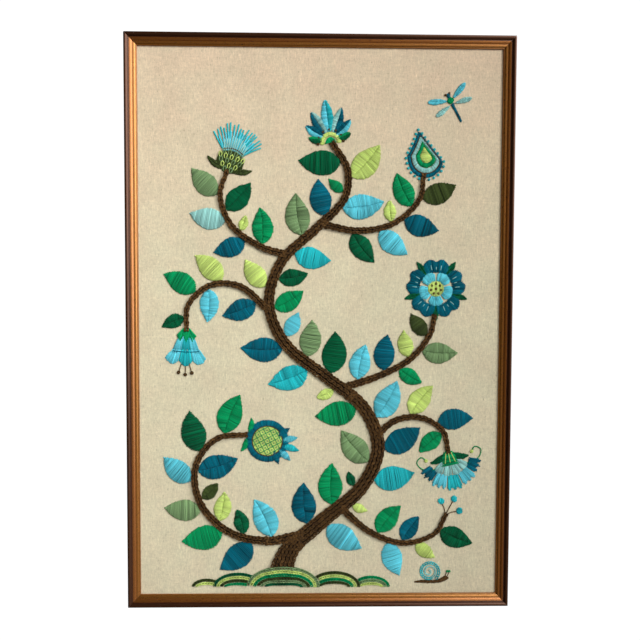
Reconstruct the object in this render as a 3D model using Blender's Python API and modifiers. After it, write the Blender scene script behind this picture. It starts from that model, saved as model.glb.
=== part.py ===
"""Framed crewel embroidery panel: a linen cloth stretched over a plain board in a narrow moulded frame.

The picture hangs upright.  +X is to the viewer's right, +Z is up and the front faces -Y.
The plane Y = 0 is the frame's flat back.  The origin is the middle of the top rail's back,
where the frame meets the wall that it hangs on.
"""

import math

import bmesh
import bpy
from mathutils import Matrix

MM = 0.001

# ---- frame ------------------------------------------------------------------
FRAME_W = 636.0 * MM  # outside width
FRAME_H = 944.0 * MM  # outside height
FACE = 20.0 * MM  # rail width seen from the front, outer edge to sight edge
REBATE = 6.0 * MM  # how far the lip covers the panel
DEPTH = 20.0 * MM  # back plane to the crest of the rim
LIP_BACK = 11.0 * MM  # back plane to the back of the lip
MITRE_GAP = 0.3 * MM  # between two rails at a corner

# ---- panel ------------------------------------------------------------------
SEAT_GAP = 0.3 * MM  # cloth to the back of the lip, and cloth to board
SIDE_GAP = 0.8 * MM  # cloth to the rebate's side
CLOTH_T = 1.0 * MM  # linen thickness
BOARD_T = 3.0 * MM  # board thickness
TURNED = 30.0 * MM  # cloth turned onto the board's back

# ---- rail section, in millimetres -------------------------------------------
# u runs from the outer edge towards the panel, h from the back plane to the front.
# Everything inside the rim falls towards the panel, in two soft steps and a sight lip.
RIM = (  # dark rim: a full round band with a fine outer arris
    {"u": 0.0, "h": 19.2},
    {"u": 0.3, "h": 19.7},
    {"u": 1.0, "h": 19.95},
    {"u": 2.2, "h": 20.0},
    {"u": 3.8, "h": 19.7},
    {"u": 5.3, "h": 18.95},
    {"u": 6.5, "h": 17.9},
)
GROOVE = {"u": 7.0, "h": 17.5}  # where the rim meets the gilt
OVOLO = (  # outer gilt step, a quarter round
    {"u": 7.4, "h": 17.45},
    {"u": 8.6, "h": 17.2},
    {"u": 10.2, "h": 16.85},
    {"u": 11.6, "h": 16.35},
    {"u": 12.7, "h": 15.75},
)
DIP = {"u": 13.1, "h": 15.45}  # between the two steps
BEAD = (  # inner gilt step, the brighter one
    {"u": 13.5, "h": 15.4},
    {"u": 14.6, "h": 15.2},
    {"u": 15.9, "h": 14.95},
    {"u": 17.1, "h": 14.5},
    {"u": 18.0, "h": 13.8},
)
SIGHT = (  # sight lip
    {"u": 18.3, "h": 13.55},
    {"u": 19.0, "h": 13.45},
    {"u": 19.6, "h": 13.2},
    {"u": 20.0, "h": 12.8},
)
CURVE_STEPS = 3

# ---- derived ----------------------------------------------------------------
BACK_FACE = FACE - REBATE  # width of the flat back of a rail
Z_TOP = BACK_FACE / 2
Z_BOTTOM = Z_TOP - FRAME_H
Z_MID = (Z_TOP + Z_BOTTOM) / 2
CLOTH_FRONT = -(LIP_BACK - SEAT_GAP)  # Y of the linen's face
BOARD_FRONT = CLOTH_FRONT + CLOTH_T + SEAT_GAP
BOARD_BACK = BOARD_FRONT + BOARD_T
CLOTH_BACK = BOARD_BACK + SEAT_GAP + CLOTH_T
CLOTH_W = FRAME_W - 2 * BACK_FACE - 2 * SIDE_GAP
CLOTH_H = FRAME_H - 2 * BACK_FACE - 2 * SIDE_GAP
BOARD_W = CLOTH_W - 2 * (CLOTH_T + SEAT_GAP)
BOARD_H = CLOTH_H - 2 * (CLOTH_T + SEAT_GAP)


def clear_scene():
    for obj in list(bpy.data.objects):
        bpy.data.objects.remove(obj, do_unlink=True)


def collection(name):
    made = bpy.data.collections.new(name)
    bpy.context.scene.collection.children.link(made)
    return made


def material(name, colour, roughness, metallic=0.0):
    mat = bpy.data.materials.new(name)
    mat.use_nodes = True
    shader = mat.node_tree.nodes["Principled BSDF"]
    shader.inputs["Base Color"].default_value = (*colour, 1.0)
    shader.inputs["Roughness"].default_value = roughness
    shader.inputs["Metallic"].default_value = metallic
    mat.diffuse_color = (*colour, 1.0)
    return mat


def smooth_run(points):
    """A Catmull-Rom run through a short table of section points, end points kept."""
    pts = [(p["u"], p["h"]) for p in points]
    pts = [pts[0], *pts, pts[-1]]
    for k in range(1, len(pts) - 2):
        a, b, c, d = pts[k - 1 : k + 3]
        for i in range(CURVE_STEPS):
            t = i / CURVE_STEPS
            yield tuple(
                0.5
                * (
                    2 * b[n]
                    + (c[n] - a[n]) * t
                    + (2 * a[n] - 5 * b[n] + 4 * c[n] - d[n]) * t**2
                    + (3 * b[n] - a[n] - 3 * c[n] + d[n]) * t**3
                )
                for n in (0, 1)
            )
    yield pts[-1]


def rail_section():
    """The rail's outline in metres, counter-clockwise seen from its end: u inwards, h to the front."""
    lip_back, back, face = LIP_BACK / MM, BACK_FACE / MM, FACE / MM
    front = [
        *smooth_run(RIM),
        (GROOVE["u"], GROOVE["h"]),
        *smooth_run(OVOLO),
        (DIP["u"], DIP["h"]),
        *smooth_run(BEAD),
        *smooth_run(SIGHT),
    ]
    outline = [
        (0.0, 0.0),
        *front,
        (face, lip_back),
        (back, lip_back),
        (back, 0.0),
    ]
    return [(u * MM, h * MM) for u, h in reversed(outline)]


def rail(name, length, origin, inward, along, finish, home):
    """A mitred length of the section.  inward and along are the world directions of u and of the length."""
    curve = bpy.data.curves.new(name + "_section", "CURVE")
    curve.dimensions = "2D"
    curve.fill_mode = "BOTH"
    curve.extrude = length / 2
    section = rail_section()
    spline = curve.splines.new("POLY")
    spline.points.add(len(section) - 1)
    for point, (u, h) in zip(spline.points, section, strict=True):
        point.co = (u, h, 0.0, 1.0)
    spline.use_cyclic_u = True
    drawn = bpy.data.objects.new(name + "_section", curve)
    home.objects.link(drawn)
    bpy.context.view_layer.update()

    graph = bpy.context.evaluated_depsgraph_get()
    mesh = bpy.data.meshes.new_from_object(drawn.evaluated_get(graph))
    bpy.data.objects.remove(drawn, do_unlink=True)
    bm = bmesh.new()
    bm.from_mesh(mesh)
    bmesh.ops.remove_doubles(bm, verts=bm.verts, dist=0.00001)
    set_back = MITRE_GAP / 2 * math.sqrt(2)
    for v in bm.verts:  # 45 degree mitres: the length shortens by u at each end
        v.co.z = math.copysign(length / 2 - v.co.x - set_back, v.co.z)
    bmesh.ops.recalc_face_normals(bm, faces=bm.faces)
    bm.to_mesh(mesh)
    bm.free()

    mesh.name = name
    mesh.materials.clear()
    mesh.materials.append(finish)
    mesh.shade_smooth()
    mesh.set_sharp_from_angle(angle=math.radians(35))
    obj = bpy.data.objects.new(name, mesh)
    obj.matrix_world = (
        Matrix.Translation(origin)
        @ Matrix((inward, (0, -1, 0), along)).transposed().to_4x4()
    )
    home.objects.link(obj)
    return obj


def cloth(name, finish, home):
    """The linen: one sheet over the board's front, round its four edges and turned onto its back."""
    bm = bmesh.new()
    bmesh.ops.create_cube(bm, size=1.0)
    bmesh.ops.scale(
        bm, vec=(CLOTH_W, CLOTH_BACK - CLOTH_FRONT, CLOTH_H), verts=bm.verts
    )
    back = max(bm.faces, key=lambda f: f.calc_center_median().y)
    bmesh.ops.inset_region(
        bm, faces=[back], thickness=TURNED + CLOTH_T, use_even_offset=True
    )
    bmesh.ops.delete(bm, geom=[back], context="FACES")
    bmesh.ops.recalc_face_normals(bm, faces=bm.faces)
    mesh = bpy.data.meshes.new(name)
    bm.to_mesh(mesh)
    bm.free()
    mesh.materials.append(finish)
    obj = bpy.data.objects.new(name, mesh)
    obj.location = (0, (CLOTH_FRONT + CLOTH_BACK) / 2, Z_MID)
    home.objects.link(obj)
    solid = obj.modifiers.new("thickness", "SOLIDIFY")
    solid.thickness = CLOTH_T
    solid.offset = -1.0
    solid.use_even_offset = True
    return obj


def board(name, finish, home):
    bm = bmesh.new()
    bmesh.ops.create_cube(bm, size=1.0)
    bmesh.ops.scale(bm, vec=(BOARD_W, BOARD_T, BOARD_H), verts=bm.verts)
    mesh = bpy.data.meshes.new(name)
    bm.to_mesh(mesh)
    bm.free()
    mesh.materials.append(finish)
    obj = bpy.data.objects.new(name, mesh)
    obj.location = (0, (BOARD_FRONT + BOARD_BACK) / 2, Z_MID)
    home.objects.link(obj)
    return obj


def build():
    clear_scene()
    home = collection("framed_crewel_panel")
    left, right, up, down = (-1, 0, 0), (1, 0, 0), (0, 0, 1), (0, 0, -1)
    rails = (
        # name, length, origin, inward, along
        ("rail_top", FRAME_W, (0, 0, Z_TOP), down, left),
        ("rail_bottom", FRAME_W, (0, 0, Z_BOTTOM), up, right),
        ("rail_left", FRAME_H, (-FRAME_W / 2, 0, Z_MID), right, down),
        ("rail_right", FRAME_H, (FRAME_W / 2, 0, Z_MID), left, up),
    )
    for name, length, origin, inward, along in rails:
        wood = material(name + "_wood", (0.20, 0.095, 0.035), 0.38, 0.0)
        rail(name, length, origin, inward, along, wood, home)
    cloth("linen", material("linen_cloth", (0.66, 0.56, 0.40), 0.92), home)
    board("back_board", material("board_grey", (0.36, 0.31, 0.24), 0.85), home)


build()
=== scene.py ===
"""Looks for the framed crewel embroidery panel: finishes, the woven linen and every wool stitch."""

import math

import bpy
import numpy as np
from mathutils import Matrix, Vector

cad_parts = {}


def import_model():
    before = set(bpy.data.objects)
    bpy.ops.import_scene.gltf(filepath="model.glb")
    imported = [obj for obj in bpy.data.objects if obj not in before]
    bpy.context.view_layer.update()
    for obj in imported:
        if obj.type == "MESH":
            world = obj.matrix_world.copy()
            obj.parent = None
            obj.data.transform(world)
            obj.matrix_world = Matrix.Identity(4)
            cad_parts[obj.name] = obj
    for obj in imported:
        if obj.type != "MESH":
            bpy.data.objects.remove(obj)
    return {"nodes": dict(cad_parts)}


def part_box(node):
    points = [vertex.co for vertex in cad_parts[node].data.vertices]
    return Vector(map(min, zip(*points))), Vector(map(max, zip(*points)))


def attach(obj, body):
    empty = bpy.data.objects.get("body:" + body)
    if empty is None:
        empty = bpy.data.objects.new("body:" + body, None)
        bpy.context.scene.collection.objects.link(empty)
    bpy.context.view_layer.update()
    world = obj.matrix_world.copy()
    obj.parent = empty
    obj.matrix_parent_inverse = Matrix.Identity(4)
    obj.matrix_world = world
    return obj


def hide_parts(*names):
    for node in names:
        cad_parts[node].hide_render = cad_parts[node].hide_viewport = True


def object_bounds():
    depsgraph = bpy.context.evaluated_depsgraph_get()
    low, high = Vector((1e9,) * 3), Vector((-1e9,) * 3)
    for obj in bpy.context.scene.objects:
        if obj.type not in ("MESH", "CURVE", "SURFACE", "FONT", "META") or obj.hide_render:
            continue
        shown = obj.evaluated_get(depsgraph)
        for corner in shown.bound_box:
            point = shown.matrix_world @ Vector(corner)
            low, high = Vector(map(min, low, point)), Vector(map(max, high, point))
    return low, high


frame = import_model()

cad_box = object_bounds()

MM = 0.001
LINEN_LO, LINEN_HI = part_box("linen")
Z_MID = (LINEN_LO.z + LINEN_HI.z) / 2
FACE_Y = LINEN_LO.y  # the linen's face
OUT_X = (cad_box[1].x - cad_box[0].x) / 2 / MM  # half the frame's width and height, in mm
OUT_Z = (cad_box[1].z - cad_box[0].z) / 2 / MM
SIGHT_X, SIGHT_Z = OUT_X - 20.0, OUT_Z - 20.0  # the opening

# ---- embroidery: layout -----------------------------------------------------
# Everything here is in millimetres in the picture plane: x to the right and z up from the
# linen's centre, and h out of the linen's face towards the viewer.

PITCH = 2.2  # between satin strands
YARN = 1.18  # half the width of a laid strand
rng = np.random.default_rng(7)

CELLS_X, CELLS_Z = 620, 930  # the occupied-ground grid, one cell a millimetre


class Ground:
    """Which square millimetres of linen are already stitched."""

    def __init__(self):
        self.used = np.zeros((CELLS_X, CELLS_Z), bool)

    def cells(self, x, z):
        i = np.clip(np.round(x + CELLS_X / 2).astype(int), 0, CELLS_X - 1)
        j = np.clip(np.round(z + CELLS_Z / 2).astype(int), 0, CELLS_Z - 1)
        return i, j

    def stamp(self, pts, r=1):
        i, j = self.cells(pts[:, 0], pts[:, 1])
        for di in range(-r, r + 1):
            for dj in range(-r, r + 1):
                self.used[
                    np.clip(i + di, 0, CELLS_X - 1), np.clip(j + dj, 0, CELLS_Z - 1)
                ] = True

    def free(self, pts):
        i, j = self.cells(pts[:, 0], pts[:, 1])
        return not self.used[i, j].any()


ground = Ground()
yarns = {}  # (colour, number of points) -> [points, half widths, half heights, shades]
beds = {}  # colour -> padding stitches under the strands: [two sides, height, shade]
BED_RINGS = 14


def add(colour, pts, a=YARN, b=0.62, shade=0.0, stamp=1):
    """One yarn lying along pts, an array of (x, z, h).  Its two end points are tips in the cloth."""
    kind = yarns.setdefault((colour, len(pts)), ([], [], [], []))
    kind[0].append(np.asarray(pts, float))
    kind[1].append(a)
    kind[2].append(b)
    kind[3].append(shade)
    if stamp:
        p = np.asarray(pts)[:, :2]
        d = np.hypot(*np.diff(p, axis=0).T)
        steps = [
            p[k] + (p[k + 1] - p[k]) * np.linspace(0, 1, max(2, int(d[k]) + 1))[:, None]
            for k in range(len(p) - 1)
        ]
        ground.stamp(np.concatenate(steps), stamp)


def unit(a):
    return np.array([math.cos(a), math.sin(a)])


def lengths(poly):
    return np.concatenate([[0.0], np.cumsum(np.hypot(*np.diff(poly, axis=0).T))])


def along(poly, t):
    """Points at shares t of a line's length."""
    s = lengths(poly)
    t = np.clip(np.asarray(t, float), 0, 1) * s[-1]
    return np.stack([np.interp(t, s, poly[:, k]) for k in range(poly.shape[1])], -1)


def smooth(points, n=60):
    """A smooth line through a few points (Catmull-Rom), with n points at even steps."""
    p = np.asarray(points, float)
    p = np.concatenate([[2 * p[0] - p[1]], p, [2 * p[-1] - p[-2]]])
    out = []
    for k in range(1, len(p) - 2):
        a, b, c, d = p[k - 1 : k + 3]
        t = np.linspace(0, 1, 16, endpoint=False)[:, None]
        out.append(
            0.5
            * (
                2 * b
                + (c - a) * t
                + (2 * a - 5 * b + 4 * c - d) * t**2
                + (3 * b - a - 3 * c + d) * t**3
            )
        )
    out.append(p[-2][None])
    return along(np.concatenate(out), np.linspace(0, 1, n))


def headings(poly):
    d = np.gradient(poly, axis=0)
    return d / np.maximum(np.hypot(d[:, 0], d[:, 1]), 1e-9)[:, None]


def offset(poly, by):
    """The line moved sideways, to its left for positive by."""
    d = headings(poly)
    return poly + np.stack([-d[:, 1], d[:, 0]], 1) * np.reshape(by, (-1, 1))


def strand(colour, p, q, h=0.62, pad=0.0, a=YARN, b=0.62, shade=0.0, lift=(0.0, 0.0), rise=1.5):
    """A straight strand from p to q that comes up out of the cloth, lies flat and goes down again."""
    p, q = np.asarray(p, float), np.asarray(q, float)
    length = float(np.hypot(*(q - p)))
    if length < 1.4:
        return
    r = min(rise, length * 0.3)
    s = np.array([0.0, 0.28 * r, r, length / 2, length - r, length - 0.28 * r, length])
    top = h + pad * min(1.0, length / 16.0)
    base = np.interp(s, [0, length], lift)
    heights = np.array(
        [-0.35, 0.34 * h, h + (top - h) * 0.45, top, h + (top - h) * 0.45, 0.34 * h, -0.35]
    )
    xz = p + (q - p) * (s / length)[:, None]
    # A laid strand is never quite straight.
    side = np.array([-(q - p)[1], (q - p)[0]]) / length
    bow = rng.normal(0, 0.012) * length
    xz = xz + side * (bow * np.array([0, 0.05, 0.3, 1, 0.3, 0.05, 0]))[:, None]
    add(colour, np.column_stack([xz, heights + base]), a, b, shade)


def bed(colour, side_a, side_b, height, shade=-0.12, dome=1.0, keep=(0.9, 0.9)):
    """The low padding between two lines that fills the gaps between the strands over it; its shade colours it darker
    than them, a painted shade in those gaps.

    keep is how far it stays inside each line.  Below nothing it reaches past the line.
    """
    t = np.linspace(0.02, 0.98, BED_RINGS)
    pa, pb = along(side_a, t), along(side_b, t)
    wide = np.maximum(np.hypot(*(pb - pa).T)[:, None], 0.1)
    in_a, in_b = (np.clip(k / wide, -0.35, 0.22) for k in keep)
    sides = np.stack([pa + (pb - pa) * in_a, pb - (pb - pa) * in_b])
    beds.setdefault(colour, []).append((sides, height, shade, dome))


# How much one strand's shade differs from the next.
UNEVEN = {"teal": 1.7, "green": 1.6, "olive": 1.8, "emerald": 1.4, "sage": 1.3, "turquoise": 1.3, "aqua": 1.3, "lime": 0.8}


def satin(
    colour,
    side_a,
    side_b,
    pitch=PITCH,
    h=0.84,
    pad=0.5,
    a=YARN,
    b=0.7,
    ragged=0.35,
    tone=0.0,
    lift=(0.0, 0.0),
    rise=1.5,
    keep=(0.9, 0.9),
    loose=None,
):
    """Strands laid side by side from the line side_a to the line side_b, as evenly as by hand.

    loose is how far apart the little bundles lie in which the hand works.
    """
    t = np.linspace(0, 1, 240)
    pa, pb = along(side_a, t), along(side_b, t)
    d = pb - pa
    d /= np.maximum(np.hypot(d[:, 0], d[:, 1]), 1e-6)[:, None]
    step_a, step_b = np.diff(pa, axis=0), np.diff(pb, axis=0)
    mid = (d[1:] + d[:-1]) / 2
    wa = np.abs(step_a[:, 0] * mid[:, 1] - step_a[:, 1] * mid[:, 0])
    wb = np.abs(step_b[:, 0] * mid[:, 1] - step_b[:, 1] * mid[:, 0])
    wide = np.maximum(wa, wb)
    phase = np.concatenate([[0.0], np.cumsum(wide)])
    if loose is None:
        loose = rng.choice([0.12, 0.3, 0.5])
    n = max(2, int(round(phase[-1] / (pitch + 0.3 * loose))))
    gaps = 1.0 + rng.normal(0, 0.05, n)
    bundle = np.cumsum(rng.integers(2, 5, n))
    gaps[bundle[bundle < n]] += loose / pitch * rng.uniform(0.6, 1.2, int((bundle < n).sum()))
    at = np.cumsum(gaps) - gaps / 2
    at *= phase[-1] / gaps.sum()
    tt = np.interp(at, phase, t)
    narrow = np.interp(at, phase[1:], np.minimum(wa, wb) / np.maximum(wide, 1e-9))
    a_narrow = np.interp(at, phase[1:], (wa < wb).astype(float)) > 0.5
    group = rng.normal(0, 0.035)
    vary = UNEVEN.get(colour, 1.2)
    swing = rng.normal(0, 0.06) * vary
    # Its bed is coloured 0.4 darker than the strands, painted shade in the gaps between them.
    bed(colour, side_a, side_b, h * 0.5 + pad * 0.42 + sum(lift) / 2, tone + group - 0.4, keep=keep)
    for k in range(n):
        p, q = along(side_a, tt[k]), along(side_b, tt[k])
        length = float(np.hypot(*(q - p)))
        if length < 1.6:
            continue
        u = (q - p) / length
        cut = 0.0
        if narrow[k] < 0.6:  # strands crowd at the narrow end, so some begin further on
            goal = (0.66 - narrow[k]) / (1 - narrow[k])
            cut = (0.0, goal, goal * 0.55, goal)[k % 4] if narrow[k] < 0.34 else (0.0, goal)[k % 2]
            cut *= 0.8
        p2 = p + (q - p) * (cut if a_narrow[k] else 0.0)
        q2 = q - (q - p) * (0.0 if a_narrow[k] else cut)
        out_a, out_b = rng.normal(0, ragged, 2)
        if length > 4:
            p2, q2 = p2 + u * out_a, q2 + u * out_b
        if rng.random() < 0.25:
            swing = rng.normal(0, 0.06) * vary
        strand(
            colour,
            p2,
            q2,
            h + rng.normal(0, 0.07),
            pad,
            a * rng.normal(1, 0.05),
            b * rng.normal(1, 0.04),
            tone + group + swing + (rng.normal(0, 0.105) + 0.16 * (rng.random() < 0.10)) * vary,
            lift,
            rise,
        )


def leaf_lines(base, angle, length, width, bend=0.0, fat=0.42, blunt=0.72, lean=0.0):
    """A leaf's midrib and its two edges.  lean moves the midrib towards one edge."""
    n = 48
    t = np.linspace(0, 1, n)
    turn = angle + bend * (t - 0.25)
    step = np.stack([np.cos(turn), np.sin(turn)], 1) * length / (n - 1)
    rib = np.asarray(base, float) + np.concatenate([[[0, 0]], np.cumsum(step[:-1], axis=0)])
    tip = blunt * (1 - fat) / fat
    f = (t / fat) ** blunt * ((1 - t) / (1 - fat)) ** tip
    w = width / 2 * f
    return rib, offset(rib, w * (1 + lean)), offset(rib, -w * (1 - lean))


def leaf(
    base,
    angle,
    length,
    width,
    left,
    right=None,
    kind="bone",
    bend=0.0,
    fat=0.42,
    blunt=0.72,
    lean=0.0,
    tone=0.0,
    pitch=PITCH,
):
    """A stitched leaf: bone has slanting strands on both sides of a rib, cross has strands straight over it."""
    rib, one, two = leaf_lines(base, angle, length, width, bend, fat, blunt, lean)
    right = right or left
    t = np.linspace(0, 1, 80)
    if kind == "cross":
        slant = 0.10 if (int(abs(base[0])) % 2) else -0.10
        ta = np.clip(t * (1 + abs(slant)) - max(slant, 0), 0, 1)
        tb = np.clip(t * (1 + abs(slant)) - max(-slant, 0), 0, 1)
        satin(left, along(one, ta), along(two, tb), pitch, pad=1.15, tone=tone, rise=1.9)
        return
    for edge, colour, way in ((one, left, 1), (two, right, -1)):
        reach = 0.30
        ts = t * (1 + reach) - reach
        rib_at = along(rib, np.clip(ts, 0, 1))
        # The strands of both halves go down at the rib, which leaves a fine furrow there.
        gap = offset(rib, way * -0.4)
        rib_at = along(gap, np.clip(ts, 0, 0.985))
        satin(
            colour,
            rib_at,
            along(edge, np.clip(t, 0.0, 0.995)),
            pitch,
            pad=0.95,
            tone=tone + 0.02 * way,
            lift=(0.3, 0.0),
            rise=2.1,
            keep=(-1.3, 0.9),
        )


def fit_leaf(base, angle, sizes, widths, turns, margin=3.5, bend=0.0, fat=0.42, blunt=0.72):
    """The largest leaf from that base that stays clear of what is stitched, or None."""
    for length in sizes:
        for turn in turns:
            width = length * widths
            rib, one, two = leaf_lines(base, angle + turn, length, width, bend, fat, blunt)
            k = 9
            grow = [1 + margin / (width / 2)] * 2
            spans = np.linspace(-1, 1, 15)
            reach = rib[k:]
            across = (one - two)[k:] / 2
            pts = [reach + across * (s * grow[0]) for s in spans]
            tip = rib[-1] + unit(angle + turn + bend * 0.75) * np.linspace(0, margin, 3)[:, None]
            side = [offset(rib, m)[k:] for m in (-margin, margin)]
            pts = np.concatenate([*pts, tip, *side])
            inside = (np.abs(pts[:, 0]) < SIGHT_X - 34) & (np.abs(pts[:, 1]) < SIGHT_Z - 26)
            if inside.all() and ground.free(pts):
                return length, angle + turn
    return None


def chain_row(colour, path, width, link=6.4, a=0.86, b=0.72, dome=0.0, tone=0.0, start=0.0, uneven=0.13, points=11, tuck=1.5, plump=0.0, sway=0.0, narrow=0.5, zigzag=0.0):
    """A row of chain stitch along a path.

    width is the loops' width at each path point, dome the ground's height there, tuck how far
    a loop begins inside the one before, plump how much higher its middle stands, sway how
    far it strays sideways, narrow how wide it begins and zigzag how far the loops lean from
    side to side.
    """
    s = lengths(path)
    wide = np.broadcast_to(np.asarray(width, float), (len(path),))
    dome = np.broadcast_to(np.asarray(dome, float), (len(path),))
    at, way = start, 1.0
    phi = np.linspace(-0.94 * math.pi, 0.94 * math.pi, points)
    while at < s[-1] - 2.0:
        here = link * rng.normal(1, 0.06)
        here = min(here, s[-1] - at + 1.0)
        w = float(np.interp(at, s, wide)) - 2 * a * 0.75
        fwd = here * (1 + np.cos(phi)) / 2
        c = w / 2 * np.sin(phi) * (narrow + (1 - narrow) * fwd / here) * 1.12 + rng.normal(0, 1) * sway
        c = c + way * zigzag * (1 - 2 * fwd / here)
        way = -way
        where = np.clip((at + fwd) / s[-1], 0, 1)
        centre = along(path, where)
        d = along(headings(path), where)
        d /= np.hypot(d[:, 0], d[:, 1])[:, None]
        xz = centre + np.stack([-d[:, 1], d[:, 0]], 1) * c[:, None]
        share = fwd / here
        h = 0.62 + 0.75 * np.exp(-(((share - 0.3) / 0.28) ** 2)) - 0.25 * share
        h[0] = h[-1] = -0.1
        swell = plump * rng.normal(1, 0.3)
        h = h + np.interp(where * s[-1], s, dome) + swell * np.sin(np.pi * np.clip(share * 0.9 + 0.08, 0, 1))
        add(
            colour,
            np.column_stack([xz, h]),
            a * rng.normal(1, 0.05),
            b,
            tone + rng.normal(0, uneven) + 2.5 * uneven * (rng.random() < 0.15),
        )
        at += here - tuck


def stem(colour, path, width, dome=0.7, gauge=6.3):
    """A raised stem of close rows of plump chain loops, which looks knobbly like bark."""
    width = np.asarray(width, float)
    one, two = offset(path, width / 2), offset(path, -width / 2)
    for k in range(0, len(path) - 1, 24):
        part = slice(max(k - 1, 0), min(k + 26, len(path)))
        if len(path[part]) > 2:
            # The bed is coloured much darker, painted shade in the holes between the chain loops.
            bed(colour, one[part], two[part], 0.3 + dome * 0.7, -0.75, 0.8, keep=(1.2, 1.2))
    rows = np.maximum(np.round(width / gauge), 2).astype(int)
    cut = 0
    while cut < len(path) - 1:
        end = cut + 1
        while end < len(path) - 1 and (rows[end] == rows[cut] or end - cut < 9):
            end += 1
        first, last = max(cut - 1, 0), min(end + 2, len(path))
        piece, w = path[first:last], width[first:last]
        n = int(rows[min(cut + (end - cut) // 2, len(rows) - 1)])
        for r in range(n):
            f = (r + 0.5) / n * 2 - 1
            chain_row(
                colour,
                offset(piece, f * w / 2),
                w / n * (0.88 if 0 < r < n - 1 else 0.98),
                link=8.1 * min(1.0, 0.6 + 0.4 * float(w.mean()) / n / gauge),
                a=1.12,
                b=1.15,
                dome=dome * (1 - f * f) * 0.9 + 0.1,
                start=0.1 + 0.8 * (r % 2) + rng.uniform(-0.1, 0.8),
                uneven=0.2,
                points=12,
                tuck=1.9,
                plump=1.7,
                sway=0.15,
                narrow=0.2,
                zigzag=1.35 if 0 < r < n - 1 else 0.85,
            )
        cut = end


def back_stitch(colour, path, size=6.5, a=0.95, b=0.66, h=0.6, tone=0.0, twist=0.35):
    """Stem stitch: overlapping strands along a fine line."""
    s = lengths(path)
    n = max(1, int(round(s[-1] / (size * 0.62))))
    for k in range(n):
        t0, t1 = k / n - 0.12 / n, (k + 1.55) / n
        t = np.clip(np.linspace(t0, min(t1, 1.0), 7), 0, 1)
        pts = along(path, t)
        d = along(headings(path), t)
        side = np.stack([-d[:, 1], d[:, 0]], 1)
        pts = pts + side * (np.linspace(-twist, twist, 7) * a)[:, None]
        heights = np.array([-0.2, 0.6, 1.0, 1.15, 1.0, 0.6, -0.2]) * h
        add(colour, np.column_stack([pts, heights]), a, b, tone + rng.normal(0, 0.06))


def knot(colour, centre, r=2.3, tone=0.0):
    """A French knot: a wound coil with its tail through the middle."""
    n = 15
    t = np.linspace(0, 1, n)
    ang = rng.uniform(0, 2 * math.pi) + t * 2 * math.pi * 1.9
    rad = np.interp(t, [0, 0.1, 0.5, 0.9, 1.0], [r * 0.95, r, r * 0.78, r * 0.35, 0.1])
    rad = rad * (1 + 0.06 * np.sin(ang * 2))
    h = np.interp(t, [0, 0.12, 0.5, 0.85, 1.0], [-0.1, 0.8, 1.35, 2.05, 1.5])
    pts = np.column_stack([centre[0] + rad * np.cos(ang), centre[1] + rad * np.sin(ang), h])
    add(colour, pts, r * 0.42, r * 0.36, tone + rng.normal(0, 0.05))


def loop(colour, base, tip, width, a=0.85, tone=0.0):
    """A detached chain, tied down at its tip."""
    base, tip = np.asarray(base, float), np.asarray(tip, float)
    size = float(np.hypot(*(tip - base)))
    d = (tip - base) / size
    n = np.array([-d[1], d[0]])
    phi = np.linspace(-0.96 * math.pi, 0.96 * math.pi, 12)
    f = size * (1 + np.cos(phi)) / 2
    c = width / 2 * np.sin(phi) * (0.45 + 0.55 * f / size)
    h = np.full(12, 0.75)
    h[0] = h[-1] = -0.2
    add(colour, np.column_stack([base + d * f[:, None] + n * c[:, None], h]), a, 0.62, tone + rng.normal(0, 0.05))
    strand(colour, tip - d * 1.2, tip + d * 2.2, 1.0, 0.1, a, 0.6, tone)


def disc(colour, centre, r, angle=0.0, tone=0.0, pad=0.9, squash=1.0):
    """A round satin spot with parallel strands."""
    t = np.linspace(-0.985, 0.985, 60)
    ux, uz = unit(angle), unit(angle + math.pi / 2)
    c = np.asarray(centre, float)
    half = np.sqrt(1 - t**2) * r * squash
    satin(
        colour,
        c + ux * (t * r)[:, None] - uz * half[:, None],
        c + ux * (t * r)[:, None] + uz * half[:, None],
        pad=pad,
        tone=tone,
        ragged=0.2,
    )


class Spot:
    """A motif's own axes: y runs along its stem's direction, x to the right of it."""

    def __init__(self, origin, angle_deg, size=1.0, flip=False):
        self.o = np.asarray(origin, float)
        self.turn = math.radians(angle_deg - 90)
        self.k = size
        self.f = -1.0 if flip else 1.0

    def __call__(self, x, y=None):
        p = np.asarray(x, float) if y is None else np.stack(np.broadcast_arrays(x, y), -1).astype(float)
        c, s = math.cos(self.turn), math.sin(self.turn)
        px, py = p[..., 0] * self.k * self.f, p[..., 1] * self.k
        return np.stack([self.o[0] + px * c - py * s, self.o[1] + px * s + py * c], -1)

    def heading(self, deg):
        """The picture angle of a local direction, in radians."""
        d = self(unit(math.radians(deg))) - self((0, 0))
        return math.atan2(d[1], d[0])


def arc(r, start, end, n=40, centre=(0, 0), squash=1.0):
    a = np.radians(np.linspace(start, end, n))
    return np.stack([centre[0] + r * np.cos(a), centre[1] + r * np.sin(a) * squash], -1)


# ---- embroidery: motifs -----------------------------------------------------


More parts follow.
